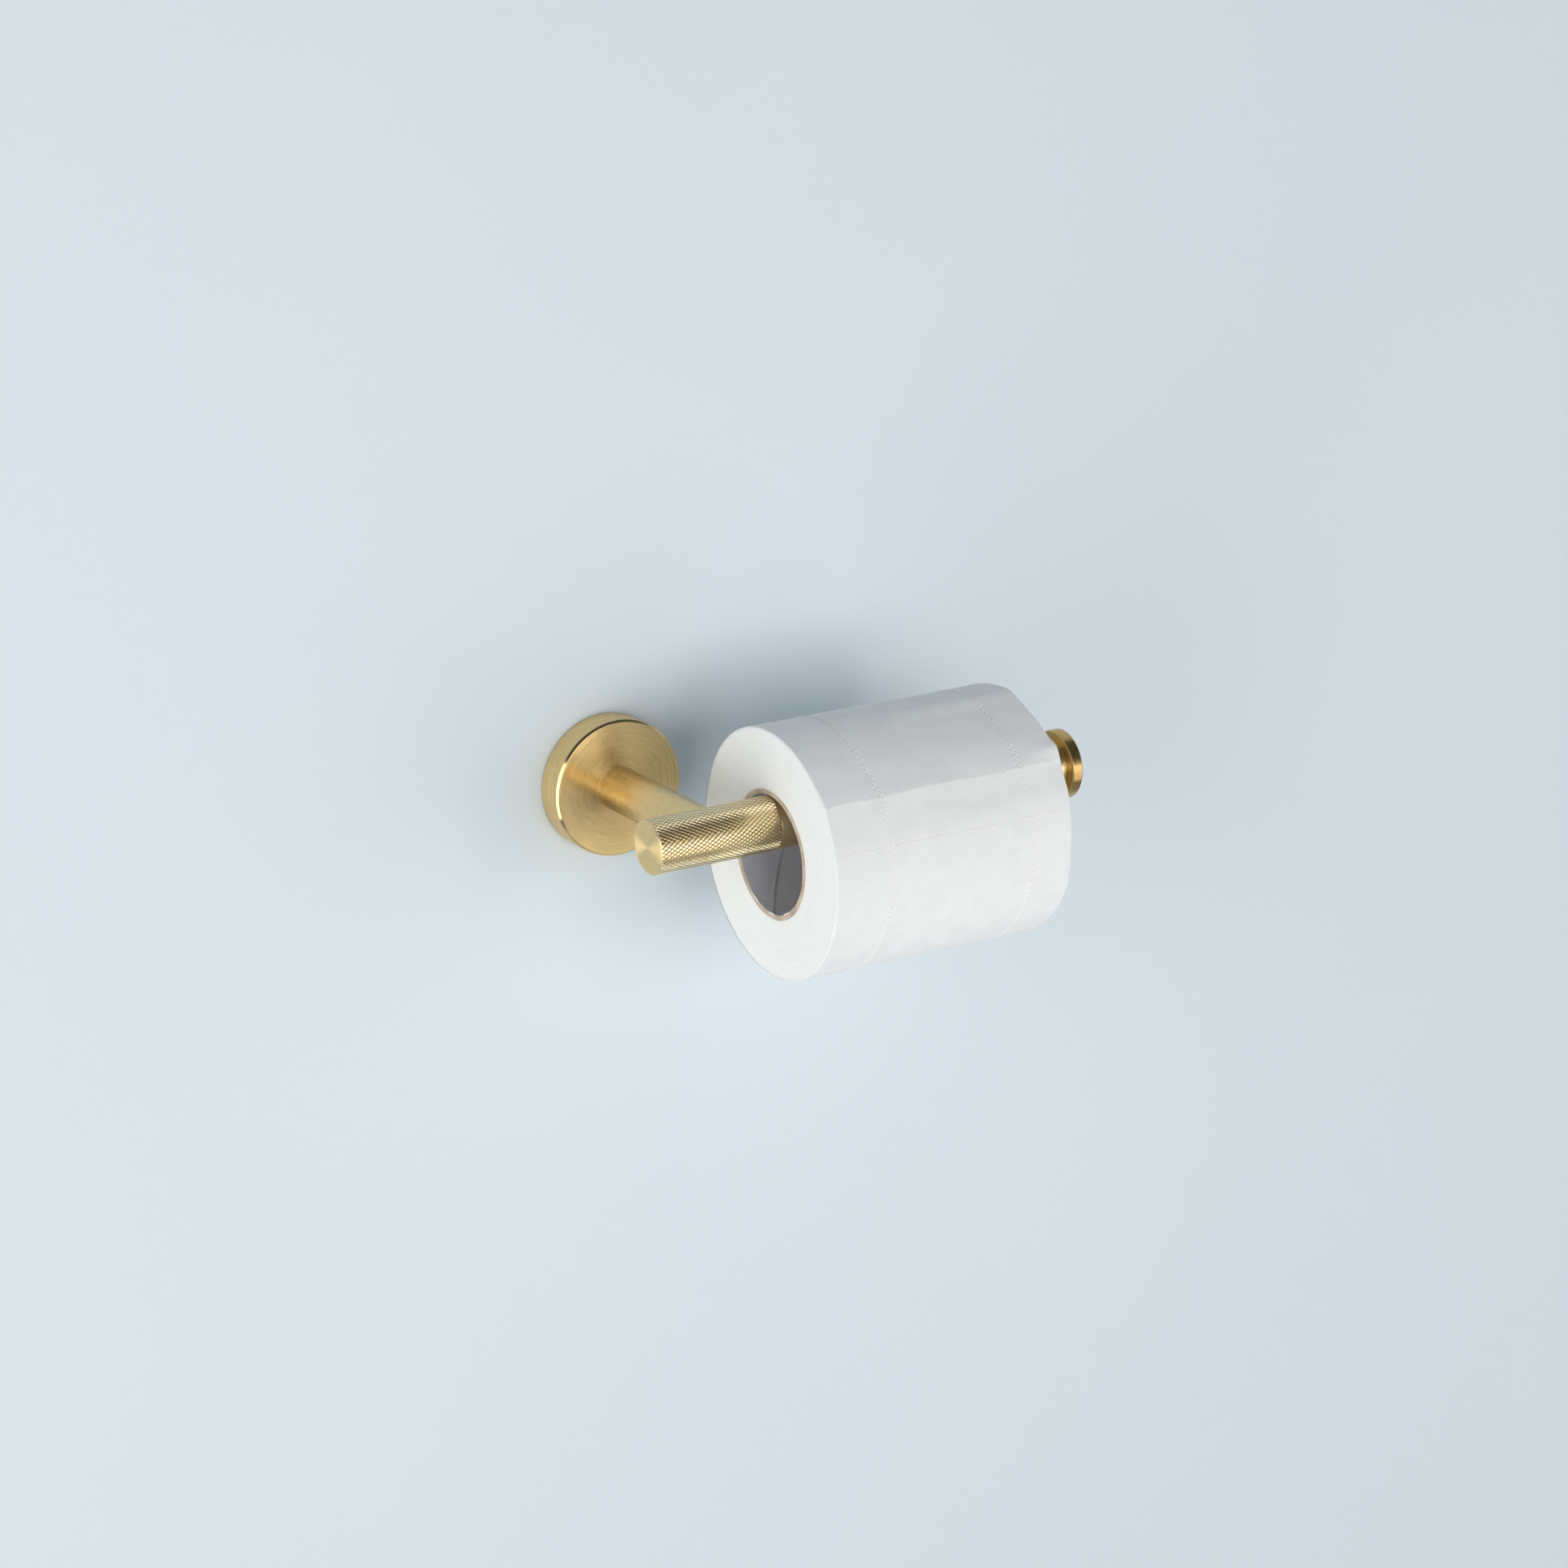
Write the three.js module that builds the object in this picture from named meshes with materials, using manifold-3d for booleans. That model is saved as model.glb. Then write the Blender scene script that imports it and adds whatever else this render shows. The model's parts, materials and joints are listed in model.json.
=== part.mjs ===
// Wall-mounted toilet paper holder: a round flange, a post, a knurled cross bar and a smooth
// rail that carries one paper roll. Millimetres, +Z up, +X along the bar, +Y into the wall.
// The origin is the centre of the flange, on the wall's surface.

import * as THREE from 'three';
import { mergeVertices } from 'three/addons/utils/BufferGeometryUtils.js';
import Module from 'manifold-3d';

const wasm = await Module();
wasm.setup();

// ---- driving dimensions ----

const GAP = 0.3; // clearance between pieces that touch
const OVERSHOOT = 1; // how far a cutting tool runs past the surface it opens

const FLANGE_RADIUS = 25; // cover cup on the wall
const FLANGE_DEPTH = 11.5;
const FLANGE_WALL = 2.5;
const FLANGE_CHAMFER = 0.8;

const BRACKET_RADIUS = 22; // wall plate inside the cup
const BRACKET_DEPTH = 6;
const BRACKET_GROOVE_Y = -3.4; // where the set screw bites
const WALL_SCREW_SPREAD = 13; // each wall screw's height above or below the centre

const WALL_SCREW_RADIUS = 1.9;
const WALL_SCREW_HEAD_RADIUS = 4;
const WALL_SCREW_TIP_Y = 33;
const WALL_SCREW_SEAT_Y = -3.3; // floor of the wall plate's counterbores
const PLUG_RADIUS = 3;
const PLUG_LENGTH = 30;

const POST_RADIUS = 8;
const BAR_AXIS_Y = -75.6; // the cross bar's axis, in front of the wall
const STUD_RADIUS = 2.8; // M6, at the pitch diameter
const ROOT_SCREW_REACH = 12; // of the root screw into the post
const STUD_ROOT = -50; // the cross bar stud's end inside the post
const STUD_REACH = 3.5; // of the stud past the bar's axis
const SET_SCREW_RADIUS = 1.8;

const GRIP_RADIUS = 9.7; // knurled length of the bar
const GRIP_LEFT = -24.5;
const GRIP_RIGHT = 23.3;
const GRIP_CHAMFER = 0.5;

const RAIL_RADIUS = 9.45; // smooth length of the bar
const TUBE_BORE_RADIUS = 7.95; // bore of the grip and of the rail
const END_WALL = 3; // the grip's closed left end
const JOINING_ROD_RIGHT = 62; // the rod's end inside the rail
const END_PLUG_LENGTH = 14;
const END_STUD_RADIUS = 2.3; // M5, at the pitch diameter
const END_STUD_REACH = 12; // of the end stop's stud into the rail's plug
const END_STUD_IN_STOP = 2; // and into the disc

const STOP_RADIUS = 12.6; // disc at the rail's free end
const STOP_RIGHT = 146.3;
const STOP_THICKNESS = 4.6;
const STOP_CHAMFER = 0.5;

const ROLL_LEFT = 23.3;
const ROLL_RIGHT = 119.7;
const ROLL_OUTER_RADIUS = 45;
const CORE_BORE_RADIUS = 21.2;
const CORE_WALL = 1.5;
const SHEET_THICKNESS = 0.35;
const TAIL_ANGLE = 36.5; // degrees above the horizontal, on the side away from the wall
const SHEET_SWEEP = 370; // degrees that the outermost turn runs round

// ---- what follows from them ----

const FLANGE_FACE = FLANGE_DEPTH - FLANGE_WALL; // depth of the cup's inside
const RAIL_LEFT = GRIP_RIGHT + GAP;
const STOP_LEFT = STOP_RIGHT - STOP_THICKNESS;
const RAIL_RIGHT = STOP_LEFT - GAP;
const SPIGOT_RADIUS = TUBE_BORE_RADIUS - GAP;
const STUD_HOLE_RADIUS = STUD_RADIUS + GAP;
const POST_ROOT = -FLANGE_DEPTH - GAP;
const ROOT_SCREW_TIP = POST_ROOT - ROOT_SCREW_REACH;
const WASHER_TOP = -FLANGE_FACE + GAP + 0.8; // 0.8 thick, inside the cup
const STUD_TIP = BAR_AXIS_Y - STUD_REACH;
const END_STUD_LEFT = RAIL_RIGHT - END_STUD_REACH;
const END_STUD_RIGHT = STOP_LEFT + END_STUD_IN_STOP;
const ROLL_AXIS_Z = RAIL_RADIUS + GAP - CORE_BORE_RADIUS; // the core hangs on the rail
const ROLL_WIDTH = ROLL_RIGHT - ROLL_LEFT;
const CORE_RADIUS = CORE_BORE_RADIUS + CORE_WALL;
const TURN_PITCH = SHEET_THICKNESS + GAP; // how much one turn of the outer sheet climbs
const SHEET_INNER_RADIUS = ROLL_OUTER_RADIUS - TURN_PITCH * (SHEET_SWEEP / 360) - SHEET_THICKNESS;
const WOUND_RADIUS = SHEET_INNER_RADIUS - GAP;

// ---- materials ----

const brushedGold = { color: 0xc4a468, roughness: 0.36, metalness: 1 };
const satinGold = { color: 0xb99a5e, roughness: 0.42, metalness: 1 };
const steel = { color: 0x9a9c9e, roughness: 0.4, metalness: 1 };
const zinc = { color: 0x85888b, roughness: 0.55, metalness: 0.9 };
const nylon = { color: 0x8f9296, roughness: 0.7, metalness: 0 };
const cardboard = { color: 0xa8937a, roughness: 0.9, metalness: 0 };
const tissue = { color: 0xf1f1ef, roughness: 0.95, metalness: 0 };

// ---- helpers ----

const holder = new THREE.Group();

function addPart(name, geometry, finish, parent = holder) {
  const part = new THREE.Mesh(geometry, new THREE.MeshStandardMaterial(finish));
  part.name = name;
  parent.add(part);
  return part;
}

// Booleans work on a geometry that holds position only, with shared vertices.
function toSolid(geometry) {
  const bare = geometry.clone();
  bare.deleteAttribute('normal');
  bare.deleteAttribute('uv');
  const merged = mergeVertices(bare, 1e-4);
  const mesh = new wasm.Mesh({
    numProp: 3,
    vertProperties: new Float32Array(merged.attributes.position.array),
    triVerts: new Uint32Array(merged.index.array),
  });
  return new wasm.Manifold(mesh);
}

function toGeometry(solid) {
  const mesh = solid.getMesh();
  const geometry = new THREE.BufferGeometry();
  geometry.setAttribute('position', new THREE.BufferAttribute(mesh.vertProperties, mesh.numProp));
  geometry.setIndex(new THREE.BufferAttribute(mesh.triVerts, 1));
  geometry.computeVertexNormals();
  return geometry;
}

function cut(geometry, ...tools) {
  const solid = tools.reduce((left, tool) => left.subtract(toSolid(tool)), toSolid(geometry));
  return toGeometry(solid);
}

// A turned piece: pairs of [radius, height] up the lathe's axis, which is Y.
function turned(outline, segments = 48) {
  const points = outline.map(([radius, height]) => new THREE.Vector2(radius, height));
  return new THREE.LatheGeometry(points, segments);
}

// The same piece with its axis along X, heights running to +X.
function turnedAlongX(outline, segments) {
  return turned(outline, segments).rotateZ(-Math.PI / 2);
}

function rodOutline(radius, low, high, lowChamfer = 0, highChamfer = lowChamfer) {
  const outline = [[0, low]];
  if (lowChamfer > 0) outline.push([radius - lowChamfer, low]);
  outline.push([radius, low + lowChamfer], [radius, high - highChamfer]);
  if (highChamfer > 0) outline.push([radius - highChamfer, high]);
  outline.push([0, high]);
  return outline;
}

function ringOutline(inner, outer, low, high) {
  return [[inner, low], [outer, low], [outer, high], [inner, high], [inner, low]];
}

const rodY = (radius, low, high, segments = 24) => turned(rodOutline(radius, low, high), segments);

function rodZ(radius, low, high, segments = 24) {
  return rodY(radius, low, high, segments).rotateX(Math.PI / 2);
}

// A slot with round ends: `straight` long between its end centres, along X, cut through in Y.
function slotY(radius, straight, low, high) {
  const half = straight / 2;
  const shape = new THREE.Shape();
  shape.absarc(half, 0, radius, -Math.PI / 2, Math.PI / 2);
  shape.absarc(-half, 0, radius, Math.PI / 2, 1.5 * Math.PI);
  const options = { depth: high - low, bevelEnabled: false, curveSegments: 12 };
  return new THREE.ExtrudeGeometry(shape, options).rotateX(Math.PI / 2).translate(0, high, 0);
}

// A hexagonal socket along Y.
const socketY = (acrossFlats, low, high) => rodY(acrossFlats / Math.sqrt(3), low, high, 6);

// ---- wall plate and its fixings ----

function wallBracket() {
  const rimInner = 18;
  const padRadius = 6;
  const recess = -1.5;
  const pocketRadius = 7.2;
  const pocketFloor = -3;
  const grooveDepth = 1.8;
  const grooveHalfWidth = 2.2;
  const plate = turned([
    [0, pocketFloor],
    [pocketRadius, pocketFloor],
    [pocketRadius, -BRACKET_DEPTH],
    [BRACKET_RADIUS, -BRACKET_DEPTH],
    [BRACKET_RADIUS, BRACKET_GROOVE_Y - grooveHalfWidth],
    [BRACKET_RADIUS - grooveDepth, BRACKET_GROOVE_Y],
    [BRACKET_RADIUS, BRACKET_GROOVE_Y + grooveHalfWidth],
    [BRACKET_RADIUS, 0],
    [rimInner, 0],
    [rimInner, recess],
    [padRadius, recess],
    [padRadius, 0],
    [0, 0],
  ], 64);
  const slotLength = 4; // between the slot's end centres
  const slotMargin = 0.5;
  const front = -BRACKET_DEPTH - OVERSHOOT;
  const cuts = [];
  for (const height of [WALL_SCREW_SPREAD, -WALL_SCREW_SPREAD]) {
    const shankSlot = slotY(WALL_SCREW_RADIUS + slotMargin, slotLength, front, OVERSHOOT);
    const headRadius = WALL_SCREW_HEAD_RADIUS + slotMargin;
    const headSlot = slotY(headRadius, slotLength, front, WALL_SCREW_SEAT_Y);
    cuts.push(shankSlot.translate(0, 0, height), headSlot.translate(0, 0, height));
  }
  return cut(plate, ...cuts);
}

function wallScrew() {
  const seat = WALL_SCREW_SEAT_Y - GAP;
  const headTop = seat - 2.2;
  const headRound = 0.8;
  const pointLength = 5;
  const pointRadius = 0.3;
  const body = turned([
    [0, headTop],
    [WALL_SCREW_HEAD_RADIUS - headRound, headTop],
    [WALL_SCREW_HEAD_RADIUS, headTop + headRound],
    [WALL_SCREW_HEAD_RADIUS, seat],
    [WALL_SCREW_RADIUS, seat],
    [WALL_SCREW_RADIUS, WALL_SCREW_TIP_Y - pointLength],
    [pointRadius, WALL_SCREW_TIP_Y],
    [0, WALL_SCREW_TIP_Y],
  ], 28);
  const recess = { across: 4.4, width: 0.9, depth: 1.5 };
  const toolDepth = recess.depth + OVERSHOOT;
  const bar = new THREE.BoxGeometry(recess.across, toolDepth, recess.width);
  bar.translate(0, headTop + recess.depth - toolDepth / 2, 0);
  const crossBar = bar.clone().rotateY(Math.PI / 2);
  return cut(body, bar, crossBar);
}

function wallPlug() {
  const bore = WALL_SCREW_RADIUS + GAP;
  const collar = { radius: PLUG_RADIUS + 1, end: GAP + 0.9 };
  const taper = { length: 1.5, depth: 0.5 };
  const body = turned([
    [bore, GAP],
    [collar.radius, GAP],
    [collar.radius, collar.end],
    [PLUG_RADIUS, collar.end],
    [PLUG_RADIUS, PLUG_LENGTH - taper.length],
    [PLUG_RADIUS - taper.depth, PLUG_LENGTH],
    [bore, PLUG_LENGTH],
    [bore, GAP],
  ], 24);
  const split = { width: 1.1, length: 19 };
  const toolLength = split.length + OVERSHOOT;
  const blade = new THREE.BoxGeometry(split.width, toolLength, PLUG_RADIUS * 3);
  return cut(body, blade.translate(0, PLUG_LENGTH - split.length + toolLength / 2, 0));
}

addPart('wall_bracket', wallBracket(), zinc);
for (const [side, height] of [['upper', WALL_SCREW_SPREAD], ['lower', -WALL_SCREW_SPREAD]]) {
  addPart(`wall_screw_${side}`, wallScrew(), steel).position.z = height;
  addPart(`wall_plug_${side}`, wallPlug(), nylon).position.z = height;
}

// ---- flange cover ----

function flangeCover() {
  const inner = FLANGE_RADIUS - FLANGE_WALL;
  const backEdge = -GAP;
  const cup = turned([
    [0, -FLANGE_DEPTH],
    [FLANGE_RADIUS - FLANGE_CHAMFER, -FLANGE_DEPTH],
    [FLANGE_RADIUS, -FLANGE_DEPTH + FLANGE_CHAMFER],
    [FLANGE_RADIUS, backEdge],
    [inner, backEdge],
    [inner, -FLANGE_FACE],
    [0, -FLANGE_FACE],
  ], 72);
  const rootHole = rodY(STUD_HOLE_RADIUS, -FLANGE_DEPTH - OVERSHOOT, 0);
  const holeEnds = [inner - OVERSHOOT, FLANGE_RADIUS + OVERSHOOT];
  const setScrewHole = rodZ(SET_SCREW_RADIUS + GAP, ...holeEnds, 20);
  setScrewHole.rotateX(Math.PI).translate(0, BRACKET_GROOVE_Y, 0);
  return cut(cup, rootHole, setScrewHole);
}

// Cone point up, into the wall plate's groove; hexagonal socket below.
function flangeSetScrew() {
  const foot = -FLANGE_RADIUS + 0.5;
  const shoulder = -BRACKET_RADIUS - GAP;
  const coneHeight = 1.3;
  const coneTip = 0.5;
  const socket = { acrossFlats: 1.8, depth: 1.3 };
  const body = turned([
    [0, foot],
    [SET_SCREW_RADIUS, foot],
    [SET_SCREW_RADIUS, shoulder],
    [coneTip, shoulder + coneHeight],
    [0, shoulder + coneHeight],
  ], 20);
  const tool = socketY(socket.acrossFlats, foot - OVERSHOOT, foot + socket.depth);
  return cut(body, tool).rotateX(Math.PI / 2);
}

addPart('flange_cover', flangeCover(), brushedGold);
addPart('flange_set_screw', flangeSetScrew(), steel).position.y = BRACKET_GROOVE_Y;

// ---- post, with a screw in its root and a stud in its saddle ----

function post() {
  const tipRoom = 1.5; // depth of a hole beyond the end of what it holds
  const body = rodY(POST_RADIUS, BAR_AXIS_Y, POST_ROOT, 56);
  const saddleHalf = 2 * POST_RADIUS;
  const saddle = turnedAlongX(rodOutline(GRIP_RADIUS + GAP, -saddleHalf, saddleHalf), 64);
  const rootHole = rodY(STUD_HOLE_RADIUS, ROOT_SCREW_TIP - tipRoom, 0);
  const studHole = rodY(STUD_HOLE_RADIUS, BAR_AXIS_Y, STUD_ROOT + tipRoom);
  return cut(body, saddle.translate(0, BAR_AXIS_Y, 0), rootHole, studHole);
}

function postRootScrew() {
  const underHead = WASHER_TOP + GAP;
  const top = underHead + 3;
  const headRadius = 4.8;
  const headChamfer = 0.4;
  const tipChamfer = 0.6;
  const socket = { acrossFlats: 5, depth: 2 };
  const body = turned([
    [0, ROOT_SCREW_TIP],
    [STUD_RADIUS - tipChamfer, ROOT_SCREW_TIP],
    [STUD_RADIUS, ROOT_SCREW_TIP + tipChamfer],
    [STUD_RADIUS, underHead],
    [headRadius, underHead],
    [headRadius, top - headChamfer],
    [headRadius - headChamfer, top],
    [0, top],
  ], 32);
  return cut(body, socketY(socket.acrossFlats, top - socket.depth, top + OVERSHOOT));
}

function postRootWasher() {
  const washerRadius = 5.6;
  return turned(ringOutline(STUD_HOLE_RADIUS, washerRadius, WASHER_TOP - 0.8, WASHER_TOP), 32);
}

function crossbarStud() {
  const chamfer = 0.6;
  const socket = { acrossFlats: 2.9, depth: 3 };
  const body = turned(rodOutline(STUD_RADIUS, STUD_TIP, STUD_ROOT, chamfer), 28);
  const tool = socketY(socket.acrossFlats, STUD_ROOT - socket.depth, STUD_ROOT + OVERSHOOT);
  return cut(body, tool);
}

addPart('post', post(), satinGold);
addPart('post_root_screw', postRootScrew(), steel);
addPart('post_root_washer', postRootWasher(), steel);
addPart('crossbar_stud', crossbarStud(), steel);

// ---- cross bar: everything below is placed about the bar's own axis ----

const bar = new THREE.Group();
bar.position.y = BAR_AXIS_Y;
holder.add(bar);

function knurledGrip() {
  const sleeve = turnedAlongX([
    [0, GRIP_LEFT],
    [GRIP_RADIUS - GRIP_CHAMFER, GRIP_LEFT],
    [GRIP_RADIUS, GRIP_LEFT + GRIP_CHAMFER],
    [GRIP_RADIUS, GRIP_RIGHT],
    [TUBE_BORE_RADIUS, GRIP_RIGHT],
    [TUBE_BORE_RADIUS, GRIP_LEFT + END_WALL],
    [0, GRIP_LEFT + END_WALL],
  ], 64);
  return cut(sleeve, rodY(STUD_HOLE_RADIUS, 0, GRIP_RADIUS + OVERSHOOT));
}

// Solid rod inside both tubes, bored from the post's side for the stud.
function joiningRod() {
  const left = GRIP_LEFT + END_WALL + GAP;
  const chamfer = 0.8;
  const tipRoom = 1;
  const rod = turnedAlongX(rodOutline(SPIGOT_RADIUS, left, JOINING_ROD_RIGHT, chamfer), 48);
  return cut(rod, rodY(STUD_HOLE_RADIUS, -STUD_REACH - tipRoom, SPIGOT_RADIUS + OVERSHOOT));
}

function railTube() {
  return turnedAlongX(ringOutline(TUBE_BORE_RADIUS, RAIL_RADIUS, RAIL_LEFT, RAIL_RIGHT), 64);
}

function railEndPlug() {
  const left = RAIL_RIGHT - END_PLUG_LENGTH;
  const chamfer = 0.6;
  const tipRoom = 1;
  const plug = turnedAlongX(rodOutline(SPIGOT_RADIUS, left, RAIL_RIGHT, chamfer), 48);
  const holeRight = RAIL_RIGHT + OVERSHOOT;
  const hole = rodOutline(END_STUD_RADIUS + GAP, END_STUD_LEFT - tipRoom, holeRight);
  return cut(plug, turnedAlongX(hole, 24));
}

function endStopStud() {
  const chamfer = 0.4;
  return turnedAlongX(rodOutline(END_STUD_RADIUS, END_STUD_LEFT, END_STUD_RIGHT, chamfer), 24);
}

function endStopDisc() {
  const tipRoom = 0.4;
  const disc = turnedAlongX(rodOutline(STOP_RADIUS, STOP_LEFT, STOP_RIGHT, STOP_CHAMFER), 64);
  const holeLeft = STOP_LEFT - OVERSHOOT;
  const hole = rodOutline(END_STUD_RADIUS + GAP, holeLeft, END_STUD_RIGHT + tipRoom);
  return cut(disc, turnedAlongX(hole, 24));
}

addPart('knurled_grip', knurledGrip(), brushedGold, bar);
addPart('joining_rod', joiningRod(), steel, bar);
addPart('rail_tube', railTube(), satinGold, bar);
addPart('rail_end_plug', railEndPlug(), steel, bar);
addPart('end_stop_stud', endStopStud(), steel, bar);
addPart('end_stop_disc', endStopDisc(), brushedGold, bar);

// ---- paper roll: placed about the roll's own axis, which is also the axis it turns on ----

const roll = new THREE.Group();
roll.position.set(ROLL_LEFT, 0, ROLL_AXIS_Z);
bar.add(roll);

// The outermost turn: one spiral strip that starts at the tail and runs once round the roll,
// over the top, down the wall side and back up the front, to end just beneath the tail.
function outerSheet() {
  const steps = 84;
  const sweep = THREE.MathUtils.degToRad(SHEET_SWEEP);
  const tail = THREE.MathUtils.degToRad(TAIL_ANGLE);
  const outside = [];
  const inside = [];
  for (let i = 0; i <= steps; i++) {
    const turn = (sweep * i) / steps;
    const radius = ROLL_OUTER_RADIUS - (TURN_PITCH * turn) / (2 * Math.PI);
    const down = -Math.sin(tail + turn);
    const wallward = -Math.cos(tail + turn);
    outside.push(new THREE.Vector2(down, wallward).multiplyScalar(radius));
    inside.push(new THREE.Vector2(down, wallward).multiplyScalar(radius - SHEET_THICKNESS));
  }
  const strip = new THREE.Shape([...outside, ...inside.reverse()]);
  const geometry = new THREE.ExtrudeGeometry(strip, { depth: ROLL_WIDTH, bevelEnabled: false });
  return geometry.rotateY(Math.PI / 2);
}

const rollRing = (inner, outer) => turnedAlongX(ringOutline(inner, outer, 0, ROLL_WIDTH), 84);

addPart('roll_core', rollRing(CORE_BORE_RADIUS, CORE_RADIUS), cardboard, roll);
addPart('paper_roll', rollRing(CORE_RADIUS + GAP, WOUND_RADIUS), tissue, roll);
addPart('outer_sheet', outerSheet(), tissue, roll);

export default holder;
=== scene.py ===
import json
import math

import bmesh
import bpy
import numpy as np
from mathutils import Matrix, Vector


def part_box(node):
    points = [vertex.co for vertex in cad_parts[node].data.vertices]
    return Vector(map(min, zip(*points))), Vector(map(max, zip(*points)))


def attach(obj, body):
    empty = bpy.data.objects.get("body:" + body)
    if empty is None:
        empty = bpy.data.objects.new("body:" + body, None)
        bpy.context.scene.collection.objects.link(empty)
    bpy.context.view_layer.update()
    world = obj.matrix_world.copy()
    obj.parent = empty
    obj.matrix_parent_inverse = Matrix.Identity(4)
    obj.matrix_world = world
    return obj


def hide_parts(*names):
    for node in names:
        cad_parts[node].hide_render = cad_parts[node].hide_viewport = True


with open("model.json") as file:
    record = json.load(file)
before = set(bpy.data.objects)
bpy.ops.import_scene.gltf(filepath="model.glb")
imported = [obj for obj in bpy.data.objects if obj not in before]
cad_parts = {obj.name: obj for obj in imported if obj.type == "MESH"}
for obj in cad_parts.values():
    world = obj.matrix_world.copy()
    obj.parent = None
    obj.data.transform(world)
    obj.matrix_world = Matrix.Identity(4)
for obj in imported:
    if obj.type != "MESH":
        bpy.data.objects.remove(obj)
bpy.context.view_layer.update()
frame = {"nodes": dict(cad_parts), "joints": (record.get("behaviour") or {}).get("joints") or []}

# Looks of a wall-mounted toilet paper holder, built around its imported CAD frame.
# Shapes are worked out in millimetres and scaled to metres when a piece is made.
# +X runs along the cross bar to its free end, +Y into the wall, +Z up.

MM = 0.001


def box_mm(node):
    """Lowest and highest corner of a CAD node, in millimetres."""
    low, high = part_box(node)
    return np.array(low) / MM, np.array(high) / MM


# ---- sizes that follow from the frame ----

FLANGE_LOW, FLANGE_HIGH = box_mm("flange_cover")
FLANGE_RADIUS = FLANGE_HIGH[0]
FLANGE_FACE_Y = FLANGE_LOW[1]
FLANGE_BACK_Y = FLANGE_HIGH[1]

GRIP_LOW, GRIP_HIGH = box_mm("knurled_grip")
GRIP_RADIUS = GRIP_HIGH[2]
GRIP_LEFT, GRIP_RIGHT = GRIP_LOW[0], GRIP_HIGH[0]
BAR_Y = (GRIP_LOW[1] + GRIP_HIGH[1]) / 2
BAR_CENTRE = (0.0, BAR_Y, 0.0)

POST_RADIUS = box_mm("post")[1][0]
RAIL_RADIUS = box_mm("rail_tube")[1][2]

STOP_LOW, STOP_HIGH = box_mm("end_stop_disc")
STOP_RADIUS = STOP_HIGH[2]

ROLL_CENTRE = np.array(frame["joints"][0]["pos_m"]) / MM
SHEET_LOW, SHEET_HIGH = box_mm("outer_sheet")
ROLL_LEFT, ROLL_RIGHT = SHEET_LOW[0], SHEET_HIGH[0]
ROLL_WIDTH = ROLL_RIGHT - ROLL_LEFT

# ---- sizes of the fine shape ----

FLANGE_WALL = 2.5
FLANGE_CHAMFER = 0.8
SET_SCREW_HOLE_RADIUS = 2.1
TURNED_EDGE = 0.12  # how far a sharp turned edge is broken
SUPPORT = 0.06  # distance of a supporting ring from a rounded edge

KNURLS_ROUND = 44
KNURL_PITCH = 2.27  # along the bar
KNURL_DEPTH = 0.25
KNURL_TOP = 0.62  # share of a diamond that is flat on top
GRIP_CHAMFER = 0.55
GRIP_SHOULDER = 0.45  # chamfer where the knurl runs out to the smooth rail
STOP_CHAMFER = 0.5
JOINT_LINE = 0.02  # gap that shows as a line where two turned pieces meet
SADDLE_GAP = 0.08  # between the post's end and the bar

CAD_CORE_WALL = 1.5
CORE_WALL = 2.0
CORE_BORE_RADIUS = box_mm("roll_core")[1][2] - ROLL_CENTRE[2] - CAD_CORE_WALL

SHEET_LIFT = 0.04  # how far the tail stands off the turn beneath
FOLD_LENGTH = 1.4  # strip beyond the tail's fold
TRACK_SHARES = (0.229, 0.820)  # embossed tracks, as shares of the roll's width
TRACK_PITCH = 2.2
TRACK_DEPTH = 0.26
PERFORATION_ANGLE = 14.3
SLIT_DEPTH, SLIT_LIP = 0.28, 0.05
UNDER_DROP = 0.9  # how far the sheet sinks where it passes below its own tail
EDGE_DROP = 0.55  # of the sheet's edges at the roll's ends
SHEET_OVERLAP = 8.0
ROW_STEP = 0.22  # between the sheet's rows
FINE_STEP = 0.3  # between points across a fine row
MEAN_RADIUS = 44.7
PAPER_SKIN = 0.33  # from the outer sheet to the wound paper


# ---- mesh helpers ----

def soften(outline, size=TURNED_EDGE):
    """Rounds the corners of an outline of (radius, along) points, and adds a supporting point
    beside each rounding so that flat stretches stay flat under smooth shading."""
    points = [np.array(p, float) for p in outline]
    made = [points[0]]
    for last, corner, following in zip(points, points[1:], points[2:]):
        before, after = last - corner, following - corner
        lengths = np.linalg.norm(before), np.linalg.norm(after)
        before, after = before / lengths[0], after / lengths[1]
        reach = min(size, 0.4 * lengths[0], 0.4 * lengths[1])
        start, end = corner + before * reach, corner + after * reach
        if lengths[0] > 3 * (reach + SUPPORT):
            made.append(start + before * SUPPORT)
        for t in np.linspace(0, 1, 6):
            made.append((1 - t) ** 2 * start + 2 * t * (1 - t) * corner + t * t * end)
        if lengths[1] > 3 * (reach + SUPPORT):
            made.append(end + after * SUPPORT)
    return made + [points[-1]]


def mesh_from(name, points, faces, closed=True):
    """A mesh from points in millimetres, with its faces turned outward if it is closed."""
    mesh = bpy.data.meshes.new(name)
    mesh.from_pydata((np.asarray(points) * MM).tolist(), [], faces)
    if closed:
        bm = bmesh.new()
        bm.from_mesh(mesh)
        bmesh.ops.recalc_face_normals(bm, faces=bm.faces)
        bm.to_mesh(mesh)
        bm.free()
    return mesh


def add_object(data):
    made = bpy.data.objects.new(data.name, data)
    bpy.context.scene.collection.objects.link(made)
    return made


def make_piece(name, points, faces, body, slot, materials, replaced=(), closed=True, crease=40.0):
    """A smooth piece from points in millimetres, attached to its body."""
    mesh = mesh_from(name, points, faces, closed)
    mesh.polygons.foreach_set("use_smooth", [True] * len(mesh.polygons))
    return add_piece(mesh, body, materials, replaced, crease)


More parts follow.
